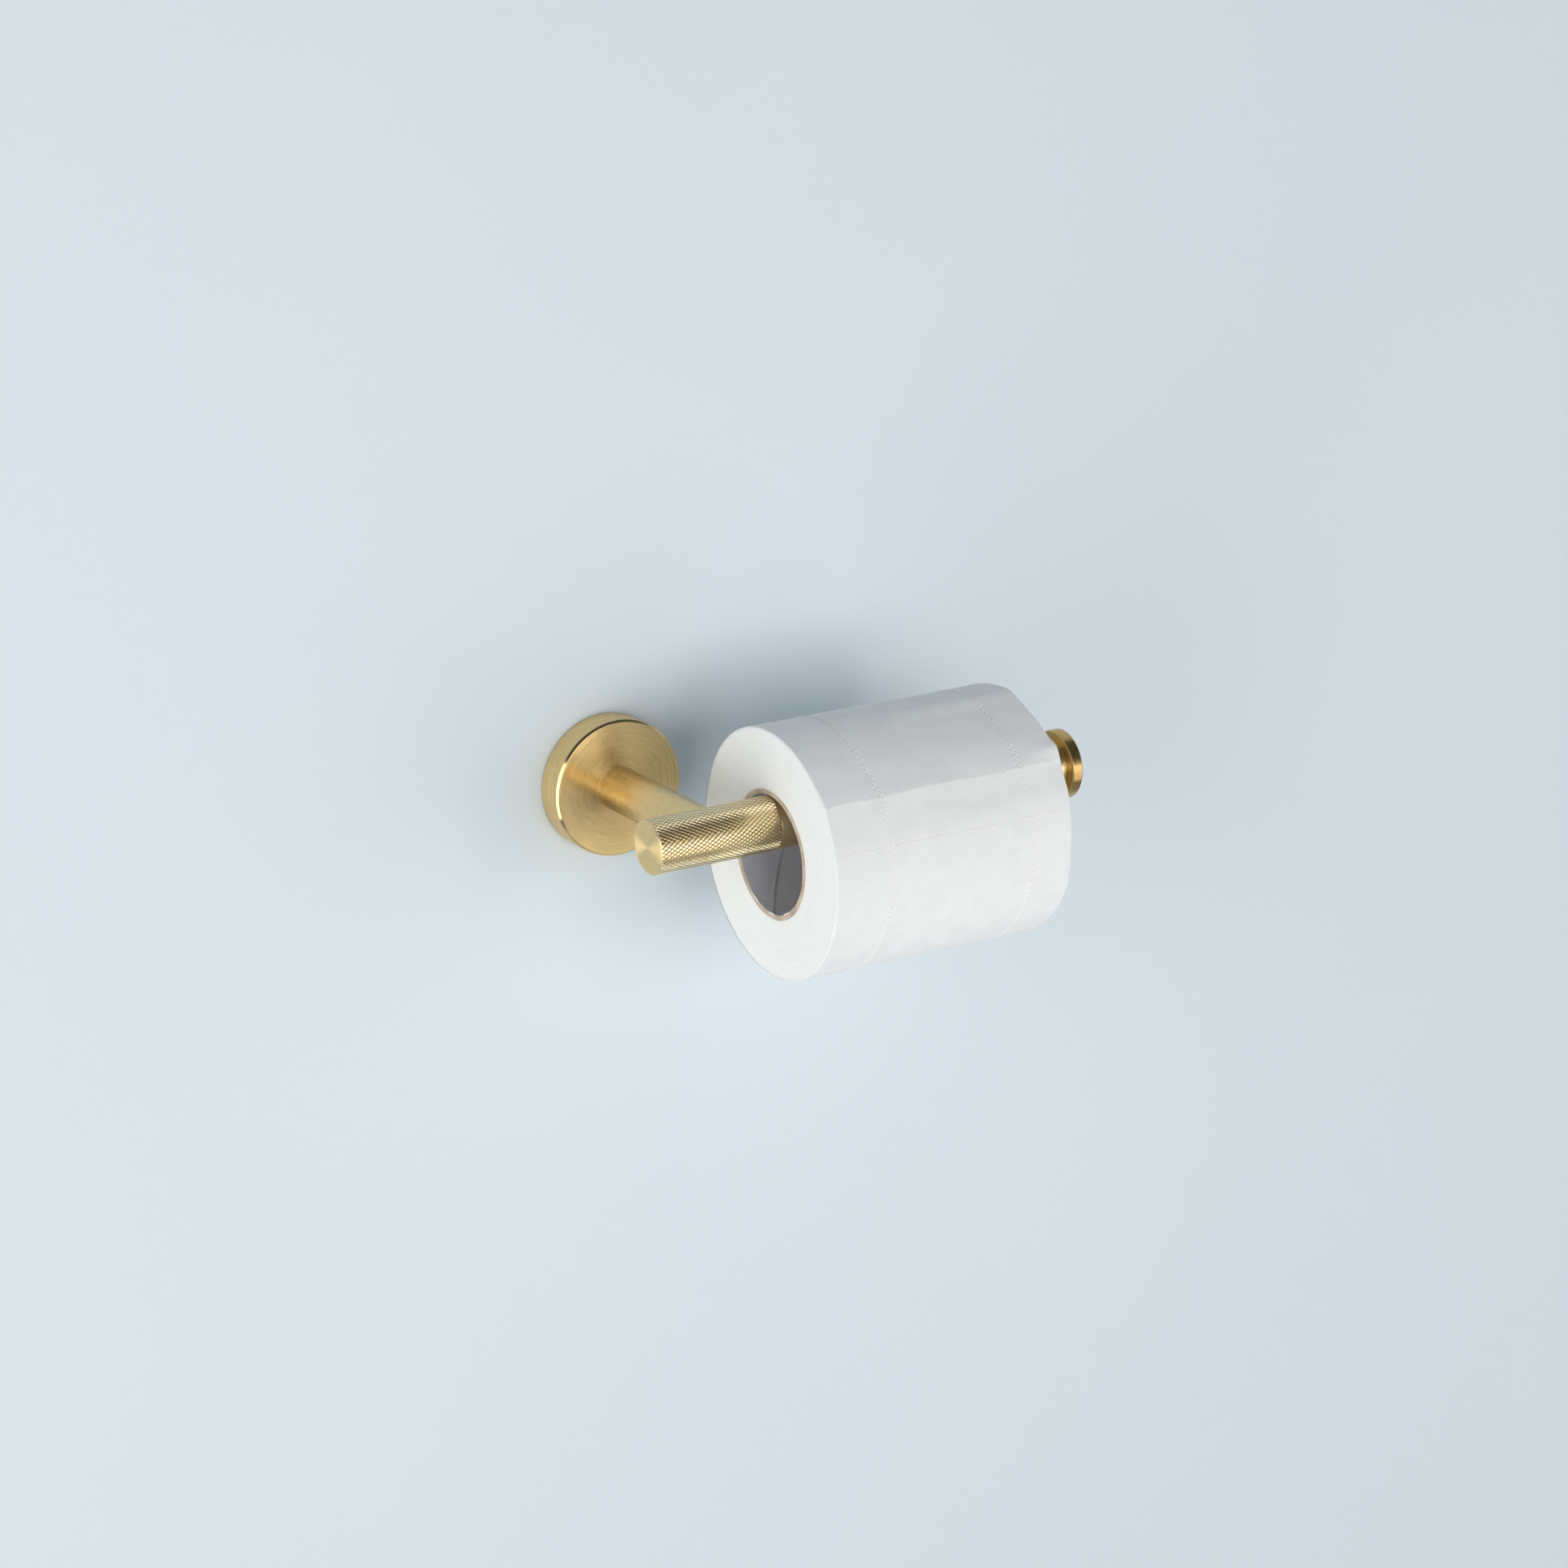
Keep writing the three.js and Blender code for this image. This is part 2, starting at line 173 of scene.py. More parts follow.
def add_piece(mesh, body, materials, replaced, crease):
    """Makes a mesh a piece: its materials, sharp edges and body, and hides the node it stands for."""
    for material in materials:
        mesh.materials.append(material)
    mesh.set_sharp_from_angle(angle=math.radians(crease))
    piece = add_object(mesh)
    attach(piece, body)
    if replaced:
        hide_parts(*replaced)
    return piece


def turned_mesh(outline, axis, centre, segments, closed=False):
    """Points and faces of an outline of (radius, along) points turned about X, Y or Z."""
    angles = np.linspace(0, 2 * math.pi, segments, endpoint=False)
    points, rings, faces = [], [], []
    for radius, along in outline:
        on_axis = radius < 1e-6
        rings.append((len(points), on_axis))
        for angle in angles[:1] if on_axis else angles:
            a, b = radius * math.cos(angle), radius * math.sin(angle)
            local = {"X": (along, a, b), "Y": (b, along, a), "Z": (a, b, along)}[axis]
            points.append(np.array(local) + centre)
    if closed:
        rings.append(rings[0])
    for (first, first_point), (second, second_point) in zip(rings, rings[1:]):
        for i in range(segments):
            j = (i + 1) % segments
            if first_point and not second_point:
                faces.append((first, second + i, second + j))
            elif second_point and not first_point:
                faces.append((first + i, second, first + j))
            elif not first_point:
                faces.append((first + i, second + i, second + j, first + j))
    return points, faces


def grid_faces(rows, columns, wrap_rows=False, wrap_columns=False, start=0):
    """Quads of a grid of points stored row by row."""
    faces = []
    for r in range(rows if wrap_rows else rows - 1):
        for c in range(columns if wrap_columns else columns - 1):
            low, high = start + r * columns, start + ((r + 1) % rows) * columns
            d = (c + 1) % columns
            faces.append((low + c, low + d, high + d, high + c))
    return faces


def smooth_step(value, low, high):
    t = np.clip((np.asarray(value, float) - low) / (high - low), 0, 1)
    return t * t * (3 - 2 * t)


def bell(value, width):
    """1 at zero, fading smoothly to 0 on both sides."""
    return np.exp(-(value / width) ** 2)


def waves(seed, along, across, amplitude):
    """A smooth random field of an angle (radians, periodic) and a length (mm): `along` is the
    range of whole waves round the turn, `across` the shortest and longest wave in mm."""
    draw = np.random.RandomState(seed)
    terms = [
        (
            draw.randint(along[0], along[1] + 1),
            2 * math.pi / draw.uniform(*across) * draw.choice([-1, 1]),
            draw.uniform(0, 2 * math.pi),
            draw.uniform(0.5, 1.0),
        )
        for _ in range(9)
    ]
    total = sum(weight for *_, weight in terms)

    def field(angle, x):
        value = sum(w * np.sin(m * angle + k * x + p) for m, k, p, w in terms)
        return amplitude * value / total * 2

    return field


# ---- material helpers ----

def node(tree, kind, inputs=None, **settings):
    """Adds a shader node. Inputs are values or other nodes' outputs."""
    made = tree.nodes.new("ShaderNode" + kind)
    for key, value in settings.items():
        setattr(made, key, value)
    for socket, value in (inputs or {}).items():
        if isinstance(value, bpy.types.NodeSocket):
            tree.links.new(value, made.inputs[socket])
        else:
            made.inputs[socket].default_value = value
    return made


def maths(tree, operation, first, second=0.0, third=0.0):
    return node(tree, "Math", {0: first, 1: second, 2: third}, operation=operation).outputs[0]


def blend(tree, first, second, share):
    """The first value at its share, the second at the rest."""
    return maths(tree, "MULTIPLY_ADD", first, share, maths(tree, "MULTIPLY", second, 1 - share))


def noise(tree, vector, scale, detail=3.0, roughness=0.5):
    inputs = {"Vector": vector, "Scale": scale, "Detail": detail, "Roughness": roughness}
    return node(tree, "TexNoise", inputs).outputs["Fac"]


def ramp(tree, value, low, high, to_low, to_high):
    """Maps low..high of a value to to_low..to_high, clamped."""
    inputs = {"Value": value, "From Min": low, "From Max": high, "To Min": to_low, "To Max": to_high}
    return node(tree, "MapRange", inputs).outputs["Result"]


def mix_colour(tree, factor, first, second):
    inputs = {0: factor, 6: first, 7: second}
    return node(tree, "Mix", inputs, data_type="RGBA").outputs[2]


def new_material(name, **values):
    """A material with its Principled shader's uniform values set by keyword."""
    material = bpy.data.materials.new(name)
    material.use_nodes = True
    tree = material.node_tree
    shader = tree.nodes["Principled BSDF"]
    for key, value in values.items():
        shader.inputs[key.replace("_", " ")].default_value = value
    return material, tree


def coordinates(tree):
    """The piece's own coordinates, which are the row frame's in metres, and their parts in mm."""
    vector = node(tree, "TexCoord").outputs["Object"]
    inputs = {0: vector, "Scale": 1 / MM}
    scaled = node(tree, "VectorMath", inputs, operation="SCALE").outputs[0]
    return scaled, node(tree, "SeparateXYZ", {0: scaled}).outputs


def stretch(tree, values, scales):
    """A texture vector of three values, each times its own scale."""
    parts = {i: maths(tree, "MULTIPLY", values[i], scales[i]) for i in range(3)}
    return node(tree, "CombineXYZ", parts).outputs[0]


def specks(tree, scaled, scale, core, rim, weight):
    """Scattered specks: the weight within the core's distance of a point, fading to the rim's."""
    inputs = {"Vector": scaled, "Scale": scale}
    distance = node(tree, "TexVoronoi", inputs, feature="F1").outputs["Distance"]
    return ramp(tree, distance, core, rim, weight, 0.0)


def shade_between(tree, value, low, high, dark, light):
    """Dark below low, light above high, blended between."""
    return mix_colour(tree, ramp(tree, value, low, high, 0.0, 1.0), dark, light)


def bump(tree, height, distance):
    inputs = {"Height": height, "Distance": distance * MM, "Strength": 1.0}
    return node(tree, "Bump", inputs).outputs[0]


def connect(material, **links):
    """Links sockets to the Principled shader's inputs, named with _ for a space."""
    tree = material.node_tree
    for key, socket in links.items():
        tree.links.new(socket, tree.nodes["Principled BSDF"].inputs[key.replace("_", " ")])
    return material


# ---- materials ----

# Light and deep tone of the gold on each kind of part. The post's pair is a little darker and the end
# stop's much darker than the rest, as painted shade on the same gold.
TURNED_GOLD = (0.90, 0.695, 0.375, 1), (0.82, 0.615, 0.31, 1)
SPUN_GOLD = (0.93, 0.70, 0.35, 1), (0.74, 0.53, 0.24, 1)
POST_GOLD_PAINTED_SHADE = (0.81, 0.63, 0.335, 1), (0.74, 0.57, 0.295, 1)
POLISHED_GOLD_PAINTED_SHADE = (0.61, 0.41, 0.165, 1), (0.50, 0.32, 0.11, 1)


def polar(tree, parts, axis, centre):
    """Radius, direction and distance along an axis, as sockets in mm."""
    others = {"X": (1, 2), "Y": (0, 2)}[axis]
    a, b = (maths(tree, "SUBTRACT", parts[i], float(centre[i])) for i in others)
    squares = [maths(tree, "MULTIPLY", value, value) for value in (a, b)]
    radius = maths(tree, "SQRT", maths(tree, "ADD", *squares))
    safe = maths(tree, "MAXIMUM", radius, 0.05)
    a, b = (maths(tree, "DIVIDE", value, safe) for value in (a, b))
    return radius, a, b, parts["XYZ".index(axis)]


def turned_gold(name, axis, centre, roughness, anisotropy, groove_depth, colours=TURNED_GOLD):
    """Gold plate over turned grooves: fine rings, broken into long streaks round the axis."""
    light, deep = colours
    material, tree = new_material(
        name, Metallic=1.0, Anisotropic=anisotropy, Anisotropic_Rotation=0.25)
    tangent = node(tree, "Tangent", direction_type="RADIAL", axis=axis).outputs[0]
    scaled, parts = coordinates(tree)
    radius, a, b, along = polar(tree, parts, axis, centre)
    across = maths(tree, "ADD", radius, along)  # counts grooves on discs and on walls alike
    place = across, a, b
    fine = noise(tree, stretch(tree, place, (9.0, 1.6, 1.6)), 1.0, detail=4.0, roughness=0.65)
    broad = noise(tree, stretch(tree, place, (1.4, 1.3, 1.3)), 1.0, detail=2.0)
    clouds = noise(tree, scaled, 0.09, detail=2.0)
    streaks = blend(tree, broad, fine, 0.4)
    uneven = blend(tree, clouds, streaks, 0.5)
    return connect(
        material,
        Tangent=tangent,
        Base_Color=shade_between(tree, streaks, 0.36, 0.64, deep, light),
        Roughness=ramp(tree, uneven, 0.35, 0.65, roughness * 0.82, roughness * 1.18),
        Normal=bump(tree, fine, groove_depth),
    )


def polish_flange_edge(material):
    """Makes the flange's chamfer shine more than its brushed face and side."""
    tree = material.node_tree
    shader = tree.nodes["Principled BSDF"]
    brushed = shader.inputs["Roughness"].links[0].from_socket
    _, parts = coordinates(tree)
    radius, _, _, along = polar(tree, parts, "Y", (0, 0, 0))
    rim_start, rim_end = FLANGE_RADIUS - FLANGE_CHAMFER, FLANGE_FACE_Y + FLANGE_CHAMFER
    blur = 0.1
    near_rim = ramp(tree, radius, rim_start - blur, rim_start + blur, 0.0, 1.0)
    near_face = ramp(tree, along, rim_end - blur, rim_end + blur, 1.0, 0.0)
    on_chamfer = maths(tree, "MULTIPLY", near_rim, near_face)
    shine = maths(tree, "MULTIPLY_ADD", on_chamfer, -0.65, 1.0)
    connect(material, Roughness=maths(tree, "MULTIPLY", brushed, shine))


def knurled_gold():
    """Rolled knurl: crests painted lighter and grooves painted darker, as painted light and shade, with a
    little grain.
    """
    # groove is painted shade in the knurl's grooves, and bright is painted light on its crests.
    groove, bright = (0.48, 0.37, 0.20, 1), (0.98, 0.84, 0.54, 1)
    material, tree = new_material("knurled_gold", Metallic=1.0)
    scaled, parts = coordinates(tree)
    radius = polar(tree, parts, "X", BAR_CENTRE)[0]
    crest = ramp(tree, radius, GRIP_RADIUS - KNURL_DEPTH, GRIP_RADIUS - 0.02, 0.0, 1.0)
    grain = noise(tree, scaled, 3.0, detail=4.0)
    # Painted crest light and groove shade, broken by random grain.
    crest_light_and_grain = maths(tree, "MULTIPLY_ADD", maths(tree, "SUBTRACT", grain, 0.5), 0.5, crest)
    return connect(
        material,
        Base_Color=mix_colour(tree, crest_light_and_grain, groove, bright),
        Roughness=ramp(tree, crest_light_and_grain, 0.0, 1.0, 0.28, 0.22),
        Normal=bump(tree, grain, 0.006),
    )


def plated_metal(name, dark, bright, roughness, grain_scale):
    """Dull plated or cast metal with cloudy tone and fine grain."""
    material, tree = new_material(name, Metallic=1.0)
    scaled, _ = coordinates(tree)
    clouds = noise(tree, scaled, 0.35, detail=4.0)
    grain = noise(tree, scaled, grain_scale, detail=5.0, roughness=0.7)
    tone = blend(tree, clouds, grain, 0.7)
    return connect(
        material,
        Base_Color=shade_between(tree, tone, 0.35, 0.65, dark, bright),
        Roughness=ramp(tree, grain, 0.3, 0.7, roughness * 0.8, roughness * 1.25),
        Normal=bump(tree, grain, 0.03),
    )


def nylon():
    """Grey moulded nylon, slightly translucent."""
    dark, light = (0.36, 0.38, 0.40, 1), (0.50, 0.52, 0.54, 1)
    material, tree = new_material(
        "moulded_nylon", IOR=1.53, Subsurface_Weight=0.15, Subsurface_Radius=(0.0012, 0.0012, 0.0012))
    scaled, _ = coordinates(tree)
    clouds = noise(tree, scaled, 0.25, detail=3.0)
    grain = noise(tree, scaled, 6.0, detail=3.0)
    return connect(
        material,
        Base_Color=mix_colour(tree, clouds, dark, light),
        Roughness=ramp(tree, grain, 0.3, 0.7, 0.42, 0.6),
        Normal=bump(tree, grain, 0.02),
    )


def tissue(name, tint, crepe_depth):
    """Soft tissue: crepe lines along the roll's axis, felted fibres, a faint sheen."""
    material, tree = new_material(
        name, Roughness=0.95, IOR=1.4, Specular_IOR_Level=0.2, Sheen_Weight=0.12, Sheen_Roughness=0.6)
    scaled, parts = coordinates(tree)
    crepe = noise(tree, stretch(tree, parts, (0.18, 2.4, 2.4)), 1.0, detail=4.0, roughness=0.6)
    felt = noise(tree, scaled, 2.6, detail=5.0, roughness=0.7)
    clouds = noise(tree, scaled, 0.12, detail=3.0)
    fibres = blend(tree, crepe, felt, 0.6)
    shade = blend(tree, clouds, fibres, 0.6)
    light = tuple(min(1.0, c * 1.02) for c in tint) + (1,)
    dark = tuple(c * 0.965 for c in tint) + (1,)
    paper = shade_between(tree, shade, 0.36, 0.64, dark, light)
    return connect(material, Base_Color=paper, Normal=bump(tree, fibres, crepe_depth))


def wound_paper():
    """The roll's cut ends: the edges of the wound layers show as faint uneven rings."""
    dark, light, dust = (0.87, 0.87, 0.85, 1), (0.92, 0.92, 0.90, 1), (0.45, 0.44, 0.42, 1)
    material, tree = new_material(
        "wound_paper", Roughness=0.97, IOR=1.4, Specular_IOR_Level=0.15)
    scaled, parts = coordinates(tree)
    radius, a, b, _ = polar(tree, parts, "X", ROLL_CENTRE)
    rings = noise(tree, stretch(tree, (radius, a, b), (3.2, 1.6, 1.6)), 1.0, detail=3.0, roughness=0.6)
    felt = noise(tree, scaled, 2.2, detail=5.0, roughness=0.7)
    speck = specks(tree, scaled, 0.16, 0.028, 0.045, 0.55)
    shade = blend(tree, rings, felt, 0.6)
    paper = shade_between(tree, shade, 0.35, 0.65, dark, light)
    dusty = mix_colour(tree, speck, paper, dust)
    return connect(material, Base_Color=dusty, Normal=bump(tree, shade, 0.05))


def core_board(name, dark, light, specks_weight):
    """Recycled board: felted fibres, a few dark specks, soft broad tone."""
    material, tree = new_material(name, Roughness=0.8, IOR=1.45, Specular_IOR_Level=0.3)
    scaled, _ = coordinates(tree)
    clouds = noise(tree, scaled, 0.16, detail=4.0)
    felt = noise(tree, scaled, 3.0, detail=5.0, roughness=0.7)
    tone = blend(tree, clouds, felt, 0.6)
    board = shade_between(tree, tone, 0.35, 0.65, dark, light)
    speck = specks(tree, scaled, 0.55, 0.06, 0.11, specks_weight)
    specked = mix_colour(tree, speck, board, (0.10, 0.07, 0.05, 1))
    return connect(material, Base_Color=specked, Normal=bump(tree, felt, 0.05))


# ---- holder: flange, post, bar and end stop ----

def flange_cover(material):
    """Turned cup with a broken front edge, open to the wall, with the set screw's hole below."""
    inner = FLANGE_RADIUS - FLANGE_WALL
    outline = soften([
        (0, FLANGE_FACE_Y),
        (FLANGE_RADIUS - FLANGE_CHAMFER, FLANGE_FACE_Y),
        (FLANGE_RADIUS, FLANGE_FACE_Y + FLANGE_CHAMFER),
        (FLANGE_RADIUS, FLANGE_BACK_Y),
        (inner, FLANGE_BACK_Y),
        (inner, FLANGE_FACE_Y + FLANGE_WALL),
        (0, FLANGE_FACE_Y + FLANGE_WALL),
    ])
    cup = turned_mesh(outline, "Y", (0, 0, 0), 224)
    cover = make_piece("flange_cover_turned", *cup, "holder", "spun_gold", [material], ["flange_cover"])
    middle = sum(box_mm("flange_set_screw")) / 2
    below, above = -FLANGE_RADIUS - 2, -inner + 2  # clear of the wall on both sides
    side = SET_SCREW_HOLE_RADIUS
    hole = [(0, below), (side, below), (side, above), (0, above)]
    cut_with_rod(cover, hole, (middle[0], middle[1], 0))
    return cover


def cut_with_rod(piece, outline, centre):
    """Cuts an upright turned rod out of a piece and keeps the result as the piece's own mesh."""
    mesh = mesh_from("cutter", *turned_mesh(outline, "Z", centre, 48))
    cutter = add_object(mesh)
    boolean = piece.modifiers.new("hole", "BOOLEAN")
    boolean.operation, boolean.solver, boolean.object = "DIFFERENCE", "EXACT", cutter
    evaluated = piece.evaluated_get(bpy.context.evaluated_depsgraph_get())
    result = bpy.data.meshes.new_from_object(evaluated)
    piece.modifiers.clear()
    old, name = piece.data, piece.data.name
    piece.data = result
    bpy.data.meshes.remove(old)
    result.name = name
    bpy.data.objects.remove(cutter)
    bpy.data.meshes.remove(mesh)


def post(material):
    """Round post whose end follows the bar's round as a saddle. Both edges are finely broken."""
    saddle_radius = GRIP_RADIUS + SADDLE_GAP
    broken = 1 - TURNED_EDGE / POST_RADIUS
    root = FLANGE_FACE_Y - JOINT_LINE
    segments = 160
    angles = np.linspace(0, 2 * math.pi, segments, endpoint=False)
    # Each ring's size, and how far it lies from the root to the saddle.
    rings = [(0.3, 0.0), (0.85, 0.0), (broken, 0.0)]
    rings += [(1.0, share) for share in (0.002, 0.004, 0.1, 0.3, 0.5, 0.7, 0.9, 0.99, 0.996)]
    rings += [(size, 1.0) for size in (broken, 0.8, 0.5, 0.25)]
    points = [(0, root, 0)]
    for size, share in rings:
        x, z = POST_RADIUS * size * np.cos(angles), POST_RADIUS * size * np.sin(angles)
        saddle = BAR_Y + np.sqrt(saddle_radius ** 2 - z ** 2)
        points += list(zip(x, root + (saddle - root) * share, z))
    faces = [(0, 1 + i, 1 + (i + 1) % segments) for i in range(segments)]
    faces += grid_faces(len(rings), segments, wrap_columns=True, start=1)
    last = 1 + (len(rings) - 1) * segments
    faces.append(tuple(last + i for i in range(segments)))
    return make_piece("post_turned", points, faces, "holder", "satin_gold",
                      [material], ["post"], crease=50)


def knurl_lattice(left, right):
    """Bmesh of raised diamonds round the bar, cut square at both ends. Grooves cross at the
    lattice's even nodes; each diamond rises from them to a small flat top."""
    around = 2 * KNURLS_ROUND
    bm = bmesh.new()
    known = {}

    def vertex(i, j, height):
        key = (round(i, 3), round(j % around, 3), round(height, 4))
        if key not in known:
            angle = 2 * math.pi * (j % around) / around
            radius = GRIP_RADIUS - KNURL_DEPTH * (1 - height)
            place = (i * KNURL_PITCH / 2, BAR_Y + radius * math.cos(angle), radius * math.sin(angle))
            known[key] = bm.verts.new(place)
        return known[key]

    first, last = math.floor(left / KNURL_PITCH * 2) - 2, math.ceil(right / KNURL_PITCH * 2) + 2
    for i in range(first, last + 1):
        for j in range(around):
            if (i + j) % 2 == 0:
                continue
            corners = [(i + 1, j), (i, j + 1), (i - 1, j), (i, j - 1)]
            low = [vertex(*corner, 0.0) for corner in corners]
            top = [vertex(i + (c[0] - i) * KNURL_TOP, j + (c[1] - j) * KNURL_TOP, 1.0) for c in corners]
            bm.faces.new(top)
            for k in range(4):
                n = (k + 1) % 4
                bm.faces.new((low[k], low[n], top[n], top[k]))
    for place, outward in ((left, -1), (right, 1)):
        everything = list(bm.verts) + list(bm.edges) + list(bm.faces)
        bmesh.ops.bisect_plane(bm, geom=everything, plane_co=(place, 0, 0),
                               plane_no=(outward, 0, 0), clear_outer=True)
    return bm


def close_bar_end(bm, place, outward, chamfer):
    """Closes one open end of the knurl: a chamfer that the grooves run out into, and a flat
    face."""
    rim = [v for v in bm.verts if v.is_boundary and abs(v.co.x - place) < 1e-3]
    rim.sort(key=lambda v: math.atan2(v.co.z, v.co.y - BAR_Y))
    angles = [math.atan2(v.co.z, v.co.y - BAR_Y) for v in rim]
    face = place + outward * chamfer
    face_radius = GRIP_RADIUS - chamfer
    for v in rim:
        radius = math.hypot(v.co.y - BAR_Y, v.co.z)
        v.co.x += outward * (GRIP_RADIUS - radius)

    def ring(radius, x):
        return [bm.verts.new((x, BAR_Y + radius * math.cos(a), radius * math.sin(a))) for a in angles]

    edge = 0.05  # how far the chamfer's edge is broken
    rings = [rim, ring(face_radius + edge, face - outward * edge), ring(face_radius - edge, face)]
    rings += [ring(face_radius * share, face) for share in (0.97, 0.75, 0.5, 0.25, 0.1)]
    count = len(rim)
    made = []
    for outer, inner in zip(rings, rings[1:]):
        for i in range(count):
            j = (i + 1) % count
            made.append(bm.faces.new((outer[i], outer[j], inner[j], inner[i])))
    centre = bm.verts.new((face, BAR_Y, 0))
    last = rings[-1]
    return made + [bm.faces.new((last[i], last[(i + 1) % count], centre)) for i in range(count)]


def knurled_grip(knurl, spun):
    """The knurled length of the bar: facets stay crisp, the chamfers and end faces smooth."""
    bm = knurl_lattice(GRIP_LEFT + GRIP_CHAMFER, GRIP_RIGHT - GRIP_SHOULDER)
    smooth = close_bar_end(bm, GRIP_LEFT + GRIP_CHAMFER, -1, GRIP_CHAMFER)
    smooth += close_bar_end(bm, GRIP_RIGHT - GRIP_SHOULDER, 1, GRIP_SHOULDER)
    bmesh.ops.recalc_face_normals(bm, faces=bm.faces)
    smooth = set(smooth)
    for f in bm.faces:
        f.smooth = f in smooth
        f.material_index = int(f in smooth)
    bmesh.ops.scale(bm, vec=(MM, MM, MM), verts=bm.verts)
    mesh = bpy.data.meshes.new("knurled_grip_fine")
    bm.to_mesh(mesh)
    bm.free()
    return add_piece(mesh, "holder", [knurl, spun], ["knurled_grip"], 12)


def rail(material):
    """Smooth length of the bar, from the grip to the end stop."""
    outline = soften([
        (0, GRIP_RIGHT + JOINT_LINE),
        (RAIL_RADIUS, GRIP_RIGHT + JOINT_LINE),
        (RAIL_RADIUS, STOP_LOW[0] - JOINT_LINE),
        (0, STOP_LOW[0] - JOINT_LINE),
    ])
    tube = turned_mesh(outline, "X", BAR_CENTRE, 192)
    return make_piece("rail_turned", *tube, "holder", "satin_gold", [material], ["rail_tube"])


def end_stop(material):
    """Disc at the rail's free end, its two edges chamfered."""
    left, right, chamfer = STOP_LOW[0], STOP_HIGH[0], STOP_CHAMFER
    outline = soften([
        (0, left),
        (STOP_RADIUS - chamfer, left),
        (STOP_RADIUS, left + chamfer),
        (STOP_RADIUS, right - chamfer),
        (STOP_RADIUS - chamfer, right),
        (0, right),
    ])
    disc = turned_mesh(outline, "X", BAR_CENTRE, 192)
    return make_piece("end_stop_turned", *disc, "holder", "polished_gold", [material], ["end_stop_disc"])


# ---- roll: its uneven round, as radius against angle ----
# Angles are in degrees about the roll's axis, 0 facing away from the wall and 90 at the top.

# (angle, radius) points of the right end, pressed flat above and below the tail's fold.
RIGHT_ROUND = [
    (-180, 44.6), (-140, 44.8), (-100, 44.9), (-65, 45.0), (-39, 45.1), (-24, 45.1), (-5, 44.1),
    (5, 44.15), (12, 44.4), (20, 44.8), (29, 44.75), (36, 45.35), (43, 45.0), (51, 44.5),
    (64, 43.6), (73, 43.8), (82, 44.9), (92, 44.5), (120, 44.6), (150, 44.5), (180, 44.6),
]
# The left end is nearly round, with a low fold.
LEFT_ROUND = [
    (-180, 44.6), (-120, 44.5), (-60, 44.7), (-20, 44.5), (0, 44.4), (14, 44.5), (26, 44.55),
    (34.3, 45.3), (44, 44.6), (62, 44.4), (90, 44.6), (137, 45.0), (160, 44.5), (180, 44.6),
]
RIGHT_FOLD_ANGLE = 36.0
LEFT_FOLD_ANGLE = 34.3
CORNER_LIFT = 1.5  # of the sheet's right edge just above the fold
FOLD_RIDGE = 0.2  # steep below the fold, gentle above it
# Where the fold stands higher: degrees, then place and width as shares of the roll's width.
FOLD_RISES = (1.3, 0.42, 0.24), (0.5, 0.9, 0.1), (1.4, 0.08, 0.09)


def fold_angle(share, slant=1.0):
    """The tail's fold across the roll's width: nearly straight, a little higher at mid-width.
    With a slant of 0 it runs square to the roll."""
    middle = (LEFT_FOLD_ANGLE + RIGHT_FOLD_ANGLE) / 2
    climb = (RIGHT_FOLD_ANGLE - LEFT_FOLD_ANGLE) * (share - 0.5)
    rise = sum(height * bell(share - place, width) for height, place, width in FOLD_RISES)
    return middle + slant * (climb + rise + 0.05 * np.sin(share * 57.0 + 1.0))


def round_of(points, corner):
    """Radius as a function of angle: a smooth curve through the points, with a crease at one."""
    angles = np.array([p[0] for p in points], float)
    radii = np.array([p[1] for p in points], float)
    slopes = np.gradient(radii, angles)
    slopes[0] = slopes[-1] = 0.0
    fold = int(np.argmin(abs(angles - corner)))
    before = (radii[fold] - radii[fold - 1]) / (angles[fold] - angles[fold - 1])
    after = (radii[fold + 1] - radii[fold]) / (angles[fold + 1] - angles[fold])

    def radius(angle):
        angle = (np.asarray(angle, float) + 180) % 360 - 180
        i = np.clip(np.searchsorted(angles, angle, side="right") - 1, 0, len(angles) - 2)
        span = angles[i + 1] - angles[i]
        t = (angle - angles[i]) / span
        low = np.where(i == fold, after, slopes[i]) * span
        high = np.where(i + 1 == fold, before, slopes[i + 1]) * span
        t2, t3 = t * t, t * t * t
        return ((2 * t3 - 3 * t2 + 1) * radii[i] + (t3 - 2 * t2 + t) * low
                + (3 * t2 - 2 * t3) * radii[i + 1] + (t3 - t2) * high)

    return radius


LEFT_RADIUS = round_of(LEFT_ROUND, LEFT_FOLD_ANGLE)
RIGHT_RADIUS = round_of(RIGHT_ROUND, RIGHT_FOLD_ANGLE)
PUFF = waves(7, (3, 9), (22, 60), 0.10)
CREPE = waves(11, (14, 30), (30, 90), 0.045)


def roll_radius(angle, share):
    """The roll's outer radius. Each end's round is turned so that its fold meets the fold line."""
    fold = fold_angle(share)
    weight = smooth_step(share, 0.0, 0.95)
    away = (angle - fold + 180) % 360 - 180
    near = bell(away, 30.0)  # the turning fades away from the fold
    left = LEFT_RADIUS(angle - (fold - LEFT_FOLD_ANGLE) * near)
    right = RIGHT_RADIUS(angle - (fold - RIGHT_FOLD_ANGLE) * near)
    turn, x = np.radians(angle), share * ROLL_WIDTH
    lift = CORNER_LIFT * bell(away - 5.5, 4.2) * bell(ROLL_WIDTH - x, 7.0)
    ridge = FOLD_RIDGE * np.exp(-np.where(away < 0, -away / 1.6, away / 7.0))
    return left + (right - left) * weight + lift + ridge + PUFF(turn, x) + CREPE(turn, x)


